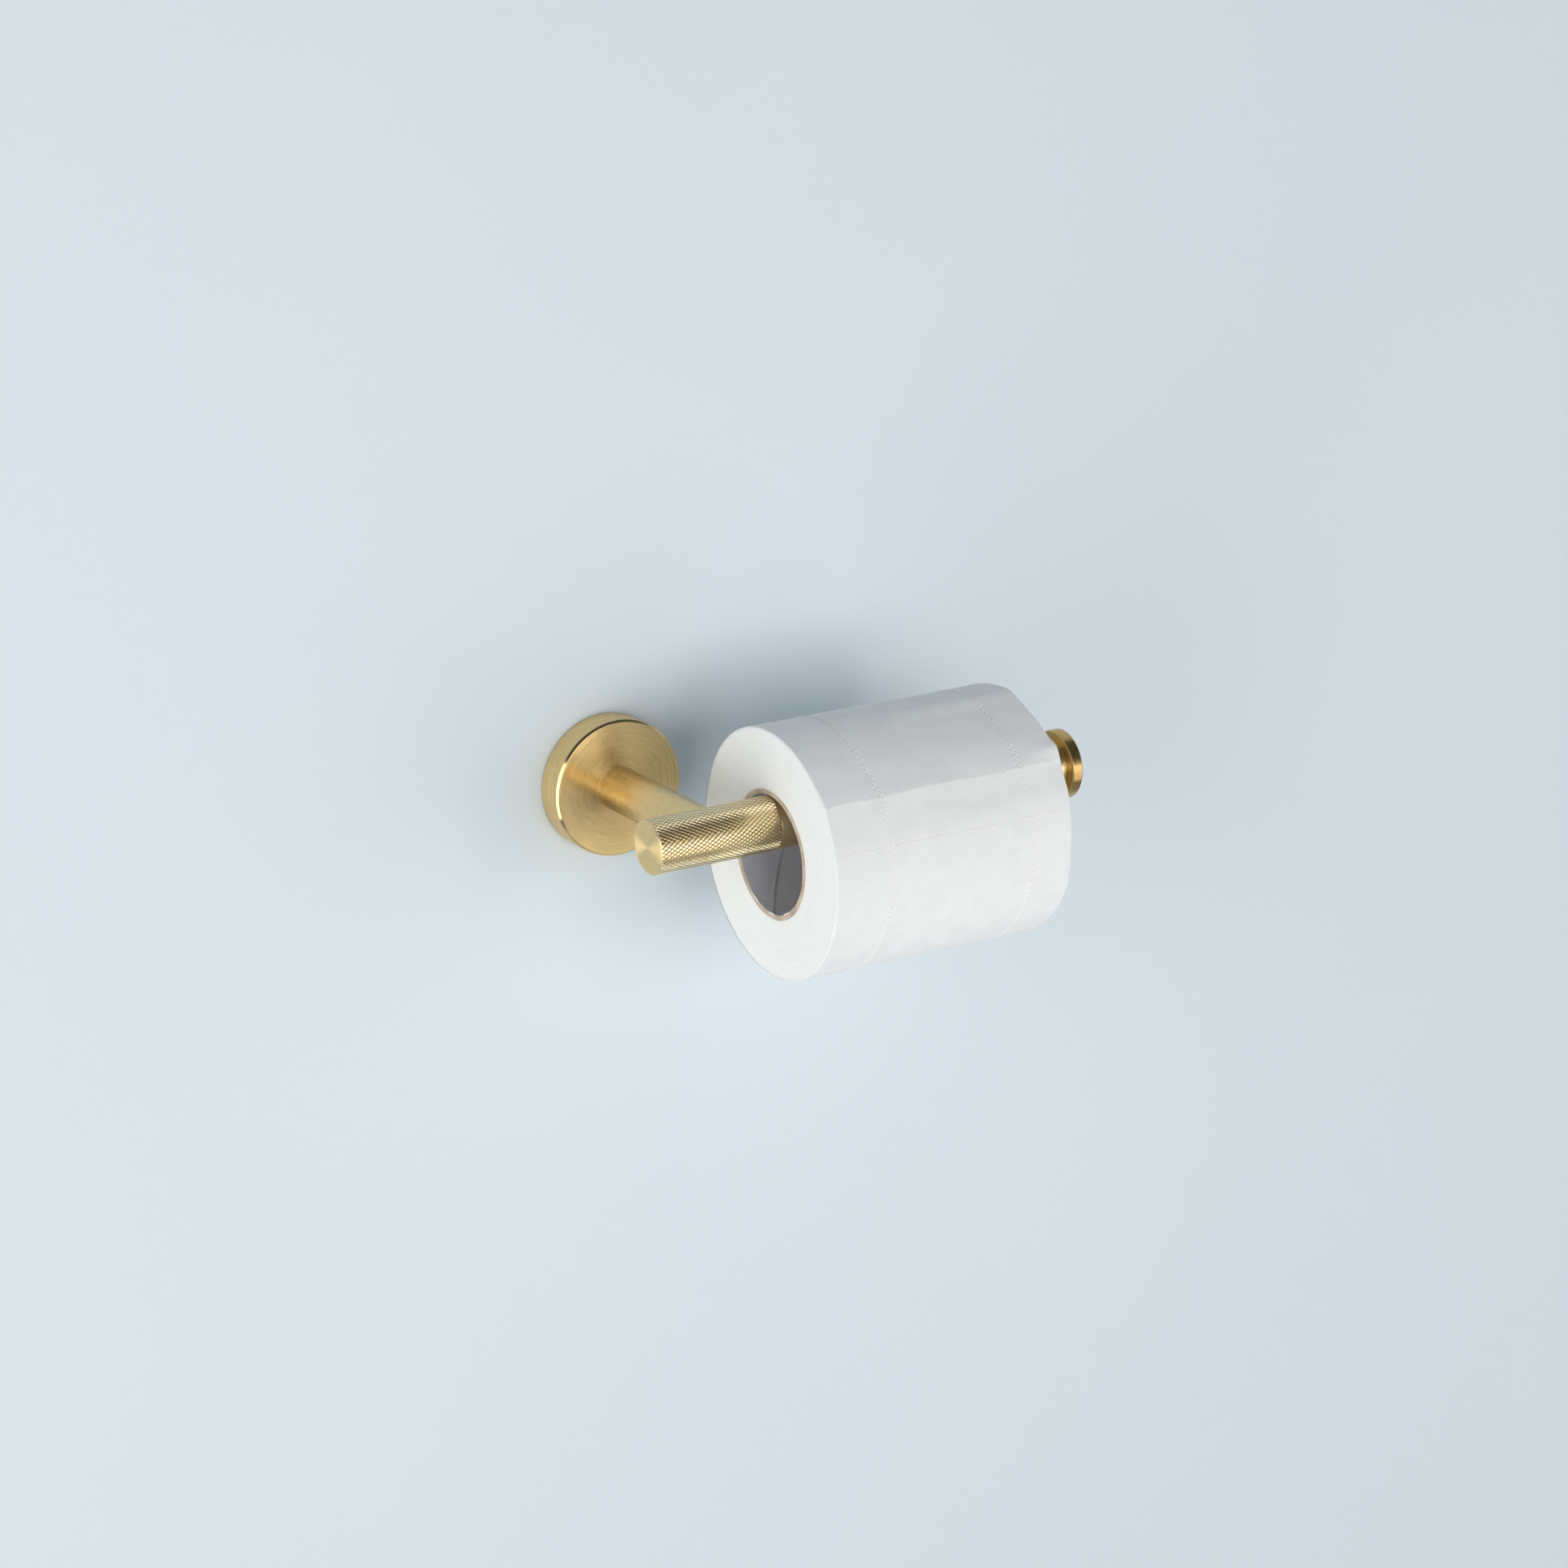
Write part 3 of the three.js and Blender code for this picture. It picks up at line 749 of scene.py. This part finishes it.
def on_roll(angle, radius, x):
    """Points in the frame from angle in degrees, radius and place along the roll in mm."""
    turn = np.radians(angle)
    y = ROLL_CENTRE[1] - radius * np.cos(turn)
    z = ROLL_CENTRE[2] + radius * np.sin(turn)
    return np.stack(np.broadcast_arrays(ROLL_LEFT + x, y, z), -1)


def stitch_marks(distance, x):
    """Depth of the embossed tracks: two staggered rows of short slanting dashes each, pressed
    flatter below the perforation."""
    row_offset, slant, dash_width = 0.52, 0.75, 0.30
    depth = np.zeros(np.broadcast(distance, x).shape)
    for share, jog in zip(TRACK_SHARES, (0.0, 0.8)):
        middle = share * ROLL_WIDTH + jog * smooth_step(distance, FOLD_LENGTH, FOLD_LENGTH + 6)
        for side in (-1, 1):
            local = x - middle - side * row_offset
            slanted = distance + side * slant * local + side * TRACK_PITCH / 4
            away = TRACK_PITCH * (slanted / TRACK_PITCH - np.round(slanted / TRACK_PITCH))
            dash = bell(away, dash_width) - 0.5 * bell(np.abs(away) - 0.68, 0.26)
            depth += dash * np.exp(-(local / 0.50) ** 4)
    return TRACK_DEPTH * (1 - 0.5 * smooth_step(distance, 225.0, 262.0)) * depth


def sheet_columns():
    """Places across the sheet: close together at its edges and in the embossed tracks."""
    columns = [0.0, 0.12, 0.3, 0.6, 1.2]
    x = 3.0
    tracks = [share * ROLL_WIDTH for share in TRACK_SHARES]
    while x < ROLL_WIDTH - 2:
        columns.append(x)
        close = any(abs(x - track - 0.2) < 1.7 for track in tracks)
        x += 0.21 if close else 1.6
    return np.array(columns + [ROLL_WIDTH - e for e in (1.2, 0.6, 0.3, 0.12, 0.0)])


def outer_sheet(material):
    """The outermost turn, from its torn and folded tail over the top and round to beneath it.
    Rows run across the roll; those at the torn edge and along the perforation are finer."""
    coarse = sheet_columns()
    finer = [np.linspace(a, b, max(1, round((b - a) / FINE_STEP)), endpoint=False)
             for a, b in zip(coarse, coarse[1:])]
    fine = np.unique(np.concatenate(finer + [[coarse[-1]]]))
    circumference = 2 * math.pi * MEAN_RADIUS
    length = circumference + SHEET_OVERLAP
    below_fold = (LEFT_FOLD_ANGLE + RIGHT_FOLD_ANGLE) / 2 - PERFORATION_ANGLE
    perforation = circumference * (1 - below_fold / 360) + FOLD_LENGTH
    torn = [0.0, 0.1, 0.25, 0.5, 0.8, 1.1, 1.3, 1.5, 1.75, 2.1, 2.6]
    slit = [perforation + d for d in (-0.6, -0.32, -0.16, -0.08, 0.0, 0.08, 0.16, 0.32, 0.6)]
    plain = np.arange(3.0, length, ROW_STEP)
    plain = [d for d in plain if abs(d - perforation) > 0.75]
    rows = sorted([(d, True) for d in torn + slit] + [(d, False) for d in plain])
    teeth = torn_edge(fine)
    bonds = perforation_bonds(fine)
    points, starts = [], []
    for distance, is_fine in rows:
        x = fine if is_fine else coarse
        share = x / ROLL_WIDTH
        offset = np.full_like(x, distance)
        if is_fine and distance < FOLD_LENGTH:
            offset = offset + teeth * (1 - distance / FOLD_LENGTH)
        sweep = np.degrees((offset - FOLD_LENGTH) / MEAN_RADIUS)
        angle = fold_angle(share, 1 - smooth_step(offset, 3.0, 25.0)) + sweep
        radius = roll_radius(angle, share)
        radius = radius + SHEET_LIFT * (1 - smooth_step(offset, 0.0, 9.0))
        past_tail = angle - fold_angle(share) - 360
        radius = radius - UNDER_DROP * smooth_step(past_tail, -1.7, 3.4)
        radius = radius - stitch_marks(offset, x) * smooth_step(offset, 0.2, 1.0)
        if is_fine and distance > 3:
            from_slit = distance - perforation
            radius = radius - SLIT_DEPTH * bonds * bell(from_slit, 0.085)
            radius = radius + SLIT_LIP * bonds * bell(abs(from_slit) - 0.25, 0.12)
        if is_fine and distance < 3:
            radius = radius - fold_nicks(x) * bell(distance - FOLD_LENGTH - 0.3, 0.4)
        edge = np.minimum(x, ROLL_WIDTH - x)
        radius = radius - EDGE_DROP * (1 - smooth_step(edge, -0.02, 0.5)) ** 2
        starts.append((len(points), is_fine))
        points += list(on_roll(angle, radius, x))
    faces = sheet_faces(starts, coarse, fine)
    sheet = make_piece("outer_sheet_tissue", points, faces, "roll", "tissue", [material], ["outer_sheet"],
                       closed=False, crease=180)
    return sheet


def torn_edge(x):
    """How far the torn edge runs out or in, in mm: short teeth where the bonds tore."""
    draw = np.random.RandomState(5)
    edge = 0.06 * np.sin(x * 1.7) + 0.04 * np.sin(x * 4.3 + 1) + draw.uniform(-0.05, 0.05, len(x))
    tooth = draw.uniform(0.5, 1.0, 60)
    index = (x / 2.5).astype(int)
    return edge - 0.22 * tooth[index] * (np.abs(x / 2.5 - index - 0.5) < 0.17)


def perforation_bonds(x):
    """1 inside a slit and 0 on a bond, with uneven slit lengths."""
    draw = np.random.RandomState(9)
    inside = np.zeros_like(x)
    place = 0.5
    while place < ROLL_WIDTH - 1:
        length = draw.uniform(1.3, 1.9)
        middle = place + length / 2
        slit = 1 - smooth_step(np.abs(x - middle), length / 2 - 0.15, length / 2 + 0.1)
        inside = np.maximum(inside, slit)
        place += length + draw.uniform(0.6, 1.1)
    return inside


def fold_nicks(x):
    """Small pinches along the tail's fold, every few millimetres."""
    draw = np.random.RandomState(13)
    depth = np.zeros_like(x)
    place = 2.0
    while place < ROLL_WIDTH - 1:
        depth += draw.uniform(0.1, 0.32) * bell(x - place, 0.28)
        place += draw.uniform(4.5, 9.0)
    return depth + 0.2 * bell(x - ROLL_WIDTH + 0.8, 0.4)


def sheet_faces(starts, coarse, fine):
    """Joins the rows: quads between rows of one kind, wider faces where fine meets coarse."""
    matches = np.searchsorted(fine, coarse - 1e-9)
    faces = []
    for (low, low_fine), (high, high_fine) in zip(starts, starts[1:]):
        if low_fine == high_fine:
            count = len(fine) if low_fine else len(coarse)
            faces += [(low + c, low + c + 1, high + c + 1, high + c) for c in range(count - 1)]
            continue
        for c in range(len(coarse) - 1):
            between = list(range(matches[c], matches[c + 1] + 1))
            if low_fine:
                faces.append(tuple([low + k for k in between] + [high + c + 1, high + c]))
            else:
                faces.append(tuple([low + c, low + c + 1] + [high + k for k in reversed(between)]))
    return faces


def paper_roll(material):
    """The wound paper: cut ends of faintly uneven layers, a skin just inside the outer sheet,
    and a bore round the core."""
    segments = 240
    angles = np.linspace(-180, 180, segments, endpoint=False)
    turn = np.radians(angles)
    bore = CORE_BORE_RADIUS + CORE_WALL + JOINT_LINE
    layer_waves = waves(17, (2, 7), (3, 9), 0.045)
    draw = np.random.RandomState(23)
    layers = 56
    rings = []
    for side, share in ((-1, 0.0), (1, 1.0)):
        outer = roll_radius(angles, share) - PAPER_SKIN
        jitter = draw.uniform(-0.015, 0.015, layers)
        rows = []
        for k in range(layers):
            t = k / (layers - 1)
            radius = bore + (outer - bore) * t
            inset = 0.12 + jitter[k] + layer_waves(turn, radius)
            inset = inset + 0.12 * smooth_step(t, 0.98, 1.0) + 0.2 * (1 - smooth_step(t, 0.0, 0.02))
            rows.append(on_roll(angles, radius, (0 if side < 0 else ROLL_WIDTH) - side * inset))
        rings.append(rows)
    between = []
    for share in np.linspace(0.02, 0.98, 22):
        radius = roll_radius(angles, share) - PAPER_SKIN
        between.append(on_roll(angles, radius, share * ROLL_WIDTH))
    loop = rings[0] + between + rings[1][::-1]
    points = np.concatenate(loop)
    faces = grid_faces(len(loop), segments, wrap_rows=True, wrap_columns=True)
    return make_piece("paper_roll_wound", points, faces, "roll", "tissue",
                      [material], ["paper_roll"], crease=60)


SEAM_ANGLE = -85.0  # where the core's spiral seam reaches its left rim
SEAM_LEAD = 82.0  # mm along the core for one turn of the seam
SEAM_RIDGE = 0.32
LINING_DROP = 0.24  # keeps the seam and the fibres off the rail as the roll turns


def roll_core(board, lining):
    """Spiral-wound core: three plies at its rims, a stepped seam and a soft wrinkle inside."""
    segments = 420
    angles = np.linspace(-180, 180, segments, endpoint=False)
    turn = np.radians(angles)
    rim_waves = waves(29, (3, 11), (2, 5), 0.10)
    plies = 9
    seam_places = np.linspace(0.8, 20, 34)  # close together where the seam's ridge shows
    plain_places = np.linspace(22, ROLL_WIDTH - 0.8, 26)
    inner_x = np.concatenate([[0.35], seam_places, plain_places, [ROLL_WIDTH - 0.35]])
    loop = []
    for x in inner_x:
        behind = (SEAM_ANGLE - 360 * x / SEAM_LEAD - angles) % 360  # degrees past the seam
        ply = 0.22 * (1 - smooth_step(behind, 0, 300))
        ridge = SEAM_RIDGE * bell(np.minimum(behind, 360 - behind), 1.6)
        radius = CORE_BORE_RADIUS + LINING_DROP - ply - ridge * (1 - smooth_step(x, 10, 22))
        loop.append(on_roll(angles, radius, x))
    for side in (1, -1):
        rows = []
        for k in range(plies):
            t = k / (plies - 1)
            radius = CORE_BORE_RADIUS + LINING_DROP + (CORE_WALL - LINING_DROP) * t
            ridge = 0.05 * math.cos(6 * math.pi * t) + 0.25 * (2 * t - 1) ** 8
            inset = 0.10 + ridge + rim_waves(turn + side, radius)
            x = ROLL_WIDTH - inset if side > 0 else inset
            rows.append(on_roll(angles, radius, x))
        loop += rows if side > 0 else rows[::-1]
        if side > 0:
            for x in np.linspace(ROLL_WIDTH - 2, 2, 4):
                loop.append(on_roll(angles, CORE_BORE_RADIUS + CORE_WALL, x))
    points = np.concatenate(loop)
    faces = grid_faces(len(loop), segments, wrap_rows=True, wrap_columns=True)
    core = make_piece("roll_core_board", points, faces, "roll", "core_board",
                      [board, lining], ["roll_core"], crease=70)
    lined = [int(i // segments < len(inner_x) - 1) for i in range(len(faces))]
    core.data.polygons.foreach_set("material_index", lined)
    return core


def fibre_strip(angles, places, heights, width):
    """Points and faces of a thin frayed ridge inside the bore, along a line of angles (degrees)
    and places (mm from the core's left end)."""
    rows = []
    for side, rise in ((0.0, -0.3), (0.15, 0.4), (0.5, 1.0), (0.85, 0.4), (1.0, -0.3)):
        radius = CORE_BORE_RADIUS + LINING_DROP - heights * rise
        rows.append(on_roll(angles, radius, places + (side - 0.5) * width))
    count = len(angles)
    faces = grid_faces(len(rows), count, wrap_rows=True)
    for end in (0, count - 1):
        faces.append(tuple(r * count + end for r in range(len(rows))))
    return np.concatenate(rows), faces


def torn_fibres(material):
    """Frayed white fibres where the lining tore: round the left rim, and along the seam."""
    draw = np.random.RandomState(31)
    rim_count, seam_count, width = 150, 40, 0.35
    round_rim = np.linspace(-132, -44, rim_count)
    fray = 0.16 + 0.20 * np.abs(np.sin(round_rim * 0.9)) + draw.uniform(0, 0.14, rim_count)
    fray = fray * (1 - 0.75 * smooth_step(np.abs(np.sin(round_rim * 0.11 + 0.4)), 0.35, 0.75))
    rim_points, rim_faces = fibre_strip(round_rim, 0.12, fray, width)
    inward = np.linspace(0.3, 7.5, seam_count)
    along_seam = SEAM_ANGLE - 1.0 - 360 * inward / SEAM_LEAD
    height = SEAM_RIDGE + 0.06 + draw.uniform(0, 0.10, seam_count)
    height = height - 0.3 * smooth_step(inward, 5.0, 7.5)
    seam_points, seam_faces = fibre_strip(along_seam, inward, height, width)
    points = np.concatenate([rim_points, seam_points])
    faces = rim_faces + [tuple(len(rim_points) + i for i in face) for face in seam_faces]
    return make_piece("core_torn_fibres", points, faces, "roll", "core_board", [material], crease=60)


# ---- fixings that show from behind the wall's surface ----

def wall_screw(name, material):
    """Pan-head wall screw with a plain neck and a turned thread to its point."""
    low, high = box_mm(name)
    x, _, z = (low + high) / 2
    head_radius = (high[0] - low[0]) / 2
    seat, tip = low[1] + 2.6, high[1]
    root, crest, pitch = 1.35, 1.95, 1.6
    head = soften([
        (0, low[1]),
        (head_radius * 0.72, low[1] + 0.25),
        (head_radius, low[1] + 1.5),
        (head_radius, seat),
    ], 0.5)
    shank = [(root + 0.2, seat), (root + 0.2, seat + 2.0)]
    turns = int((tip - seat - 6) / pitch)
    thread = []
    for k in range(turns):
        y = seat + 2.4 + k * pitch
        fade = min(1.0, (turns - k) / 3.0)
        thread += [(root * (0.55 + 0.45 * fade), y), (root + (crest - root) * fade, y + 0.5 * pitch)]
    outline = head + shank + thread + [(root * 0.5, tip - 1.2), (0, tip)]
    screw = turned_mesh(outline, "Y", (x, 0, z), 40)
    return make_piece(name + "_threaded", *screw, "holder", "plated_steel", [material], [name], crease=30)


def wall_plug(name, material):
    """Ribbed nylon plug: a collar, barbed rings and four grooves along it."""
    low, high = box_mm(name)
    x, _, z = (low + high) / 2
    radius = (high[0] - low[0]) / 2
    bore = 2.15
    back, front = high[1], low[1]
    outline = [(bore, front), (radius, front), (radius, front + 1.2)]
    y = front + 2.0
    while y < back - 6:
        outline += [(radius - 0.55, y), (radius - 0.05, y + 1.7)]
        y += 2.4
    outline += [(radius - 0.5, back - 4.5), (bore + 0.35, back), (bore, back)]
    points, faces = turned_mesh(outline, "Y", (x, 0, z), 72, closed=True)
    points = np.array(points)
    turn = np.arctan2(points[:, 2] - z, points[:, 0] - x)
    radius_now = np.hypot(points[:, 0] - x, points[:, 2] - z)
    groove = 0.45 * bell((turn / (math.pi / 2) + 0.5) % 1 - 0.5, 0.07)
    inner = radius_now < bore + 0.1
    squeeze = np.where(inner | (points[:, 1] < front + 1.6), 0.0, groove)
    points[:, 0] = x + (radius_now - squeeze) * np.cos(turn)
    points[:, 2] = z + (radius_now - squeeze) * np.sin(turn)
    return make_piece(name + "_ribbed", points, faces, "holder", "plug_nylon",
                      [material], [name], crease=35)


# ---- stage, light and camera ----

# All in metres. Widths and depths are half the whole.
WALL_FOOT, WALL_TOP, WALL_WIDTH = -1.5, 2.6, 3.0
WALL_Y = 0.0001  # just behind the wall plate's back
FLOOR_WIDTH, FLOOR_DEPTH = 4.0, 5.0


def plain_material(name, dark, light, **values):
    """A material whose tone drifts slowly between two close colours."""
    material, tree = new_material(name, **values)
    clouds = noise(tree, coordinates(tree)[0], 0.004, detail=2.0)
    return connect(material, Base_Color=mix_colour(tree, clouds, dark, light))


def add_stage():
    """A plain pale wall that shows from the front only, and a plain pale floor below."""
    blue_grey = (0.72, 0.81, 0.87, 1), (0.77, 0.845, 0.875, 1)
    material = plain_material("stage_wall", *blue_grey, Roughness=0.7, Specular_IOR_Level=0.15)
    tree = material.node_tree
    shader = tree.nodes["Principled BSDF"]
    see_through = node(tree, "BsdfTransparent")
    facing = node(tree, "NewGeometry").outputs["Backfacing"]
    inputs = {0: facing, 1: shader.outputs[0], 2: see_through.outputs[0]}
    mixed = node(tree, "MixShader", inputs)
    tree.links.new(mixed.outputs[0], tree.nodes["Material Output"].inputs["Surface"])
    corners = [(-1, WALL_FOOT), (1, WALL_FOOT), (1, WALL_TOP), (-1, WALL_TOP)]
    wall = plane("stage_wall", [(WALL_WIDTH * x, WALL_Y, z) for x, z in corners], material)
    pale_grey = (0.66, 0.68, 0.70, 1), (0.72, 0.73, 0.74, 1)
    floor_material = plain_material("stage_floor", *pale_grey, Roughness=0.6)
    corners = [(-1, -1), (1, -1), (1, 1), (-1, 1)]
    places = [(FLOOR_WIDTH * x, FLOOR_DEPTH * y, WALL_FOOT) for x, y in corners]
    floor = plane("stage_floor", places, floor_material)


def plane(name, corners, material):
    mesh = bpy.data.meshes.new(name)
    mesh.from_pydata(corners, [], [(0, 1, 2, 3)])
    mesh.materials.append(material)
    return add_object(mesh)


def direction(azimuth, elevation):
    """Unit vector from the object: azimuth 0 faces away from the wall, 90 to the right."""
    a, e = math.radians(azimuth), math.radians(elevation)
    return Vector((math.sin(a) * math.cos(e), -math.cos(a) * math.cos(e), math.sin(e)))


LIT_POINT = Vector((0.05, -0.04, 0))  # what the softboxes face, in metres
SOFTBOX_COLOUR = (1.0, 0.985, 0.96)
# Azimuth and elevation in degrees, distance, width and height in metres, radiance, colour.
SOFTBOXES = {
    "key_softbox": (2, 4, 1.8, 1.25, 0.9, 3.6, SOFTBOX_COLOUR),
    "right_softbox": (36, -16, 1.7, 1.1, 1.3, 1.3, SOFTBOX_COLOUR),
    "left_softbox": (-68, -7, 1.5, 1.1, 1.9, 2.15, (1.0, 0.985, 0.955)),
}


def add_softbox(name, azimuth, elevation, distance, width, height, radiance, colour):
    """A rectangular area light of a given radiance that faces the object."""
    light = bpy.data.lights.new(name, "AREA")
    light.shape = "RECTANGLE"
    light.size, light.size_y = width, height
    light.energy = radiance * math.pi * width * height
    light.color = colour
    box = add_object(light)
    away = direction(azimuth, elevation)
    box.location = LIT_POINT + away * distance
    box.rotation_euler = away.to_track_quat("Z", "Y").to_euler()
    box.visible_camera = False


def add_light():
    """A pale studio all round, dark overhead and underfoot, with three softboxes."""
    world = bpy.data.worlds.new("studio")
    bpy.context.scene.world = world
    world.use_nodes = True
    tree = world.node_tree
    ray = node(tree, "TexCoord").outputs["Generated"]
    height = node(tree, "SeparateXYZ", {0: ray}).outputs[2]
    overhead = ramp(tree, height, -0.05, 0.36, 0.0, 1.0)
    underfoot = ramp(tree, height, -0.70, -0.40, 1.0, 0.0)
    dark = maths(tree, "MAXIMUM", overhead, underfoot)
    studio, unlit = (0.52, 0.54, 0.57, 1), (0.078, 0.092, 0.112, 1)
    colour = mix_colour(tree, dark, studio, unlit)
    tree.links.new(colour, tree.nodes["Background"].inputs["Color"])
    for name, settings in SOFTBOXES.items():
        add_softbox(name, *settings)


CAMERA_AIM = (0.05474, -0.03349, -0.00247)
CAMERA_AZIMUTH, CAMERA_ELEVATION, CAMERA_ROLL = -30.764, 17.513, -1.142
CAMERA_DISTANCE = 1.5063
CAMERA_LENS, SENSOR_WIDTH = 97.14, 36.0  # in mm


def add_camera():
    """The camera stands to the left of the object and above it, tilted very slightly."""
    data = bpy.data.cameras.new("camera")
    data.lens, data.sensor_width = CAMERA_LENS, SENSOR_WIDTH
    data.clip_start, data.clip_end = 0.05, 30.0
    camera = add_object(data)
    away = direction(CAMERA_AZIMUTH, CAMERA_ELEVATION)
    level = Vector((0, 0, 1)).cross(away).normalized()
    tilt = Matrix.Rotation(math.radians(CAMERA_ROLL), 3, away)
    right = tilt @ level
    up = away.cross(right)
    axes = Matrix((right, up, away)).transposed()
    place = Vector(CAMERA_AIM) + away * CAMERA_DISTANCE
    camera.matrix_world = Matrix.Translation(place) @ axes.to_4x4()
    bpy.context.scene.camera = camera


# ---- everything together ----

def build_holder():
    # The numbers are roughness, anisotropy and groove depth in mm.
    spun = turned_gold("spun_gold", "Y", (0, 0, 0), 0.26, 0.9, 0.014, SPUN_GOLD)
    polish_flange_edge(spun)
    # The post's slightly darker gold is painted shade.
    satin_post = turned_gold("satin_gold_post", "Y", (0, 0, 0), 0.29, 0.3, 0.006, POST_GOLD_PAINTED_SHADE)
    satin_rail = turned_gold("satin_gold_rail", "X", BAR_CENTRE, 0.33, 0.5, 0.005)
    # The end stop's low roughness is its real polish, and its much darker base colour is painted shade.
    polished = turned_gold("polished_gold", "X", BAR_CENTRE, 0.25, 0.4, 0.003, POLISHED_GOLD_PAINTED_SHADE)
    grip_face = turned_gold("grip_face_gold", "X", BAR_CENTRE, 0.44, 0.9, 0.006)
    flange_cover(spun)
    post(satin_post)
    knurled_grip(knurled_gold(), grip_face)
    rail(satin_rail)
    end_stop(polished)
    steel = plated_metal("plated_steel", (0.42, 0.43, 0.45, 1), (0.66, 0.67, 0.69, 1), 0.32, 4.0)
    zinc = plated_metal("cast_zinc", (0.34, 0.35, 0.36, 1), (0.50, 0.51, 0.53, 1), 0.5, 2.5)
    plug_material = nylon()
    for level in ("upper", "lower"):
        wall_screw("wall_screw_" + level, steel)
        wall_plug("wall_plug_" + level, plug_material)
    for name in ("flange_set_screw", "post_root_screw", "post_root_washer", "crossbar_stud",
                 "joining_rod", "rail_end_plug", "end_stop_stud"):
        dress_node(name, steel)
    dress_node("wall_bracket", zinc)


def dress_node(name, material):
    """Gives a CAD node that stays its own material."""
    slots = frame["nodes"][name].data.materials
    slots.clear()
    slots.append(material)


def build_roll():
    paper_roll(wound_paper())
    outer_sheet(tissue("tissue", (0.89, 0.895, 0.89), 0.045))
    board = core_board("core_board", (0.42, 0.31, 0.21, 1), (0.74, 0.62, 0.49, 1), 0.7)
    lining = core_board("core_lining", (0.52, 0.53, 0.61, 1), (0.57, 0.59, 0.66, 1), 0.1)
    roll_core(board, lining)
    torn_fibres(tissue("torn_fibre", (0.86, 0.85, 0.83), 0.05))


bpy.context.scene.view_settings.view_transform = "Standard"
add_camera()
add_light()
add_stage()
build_holder()
build_roll()
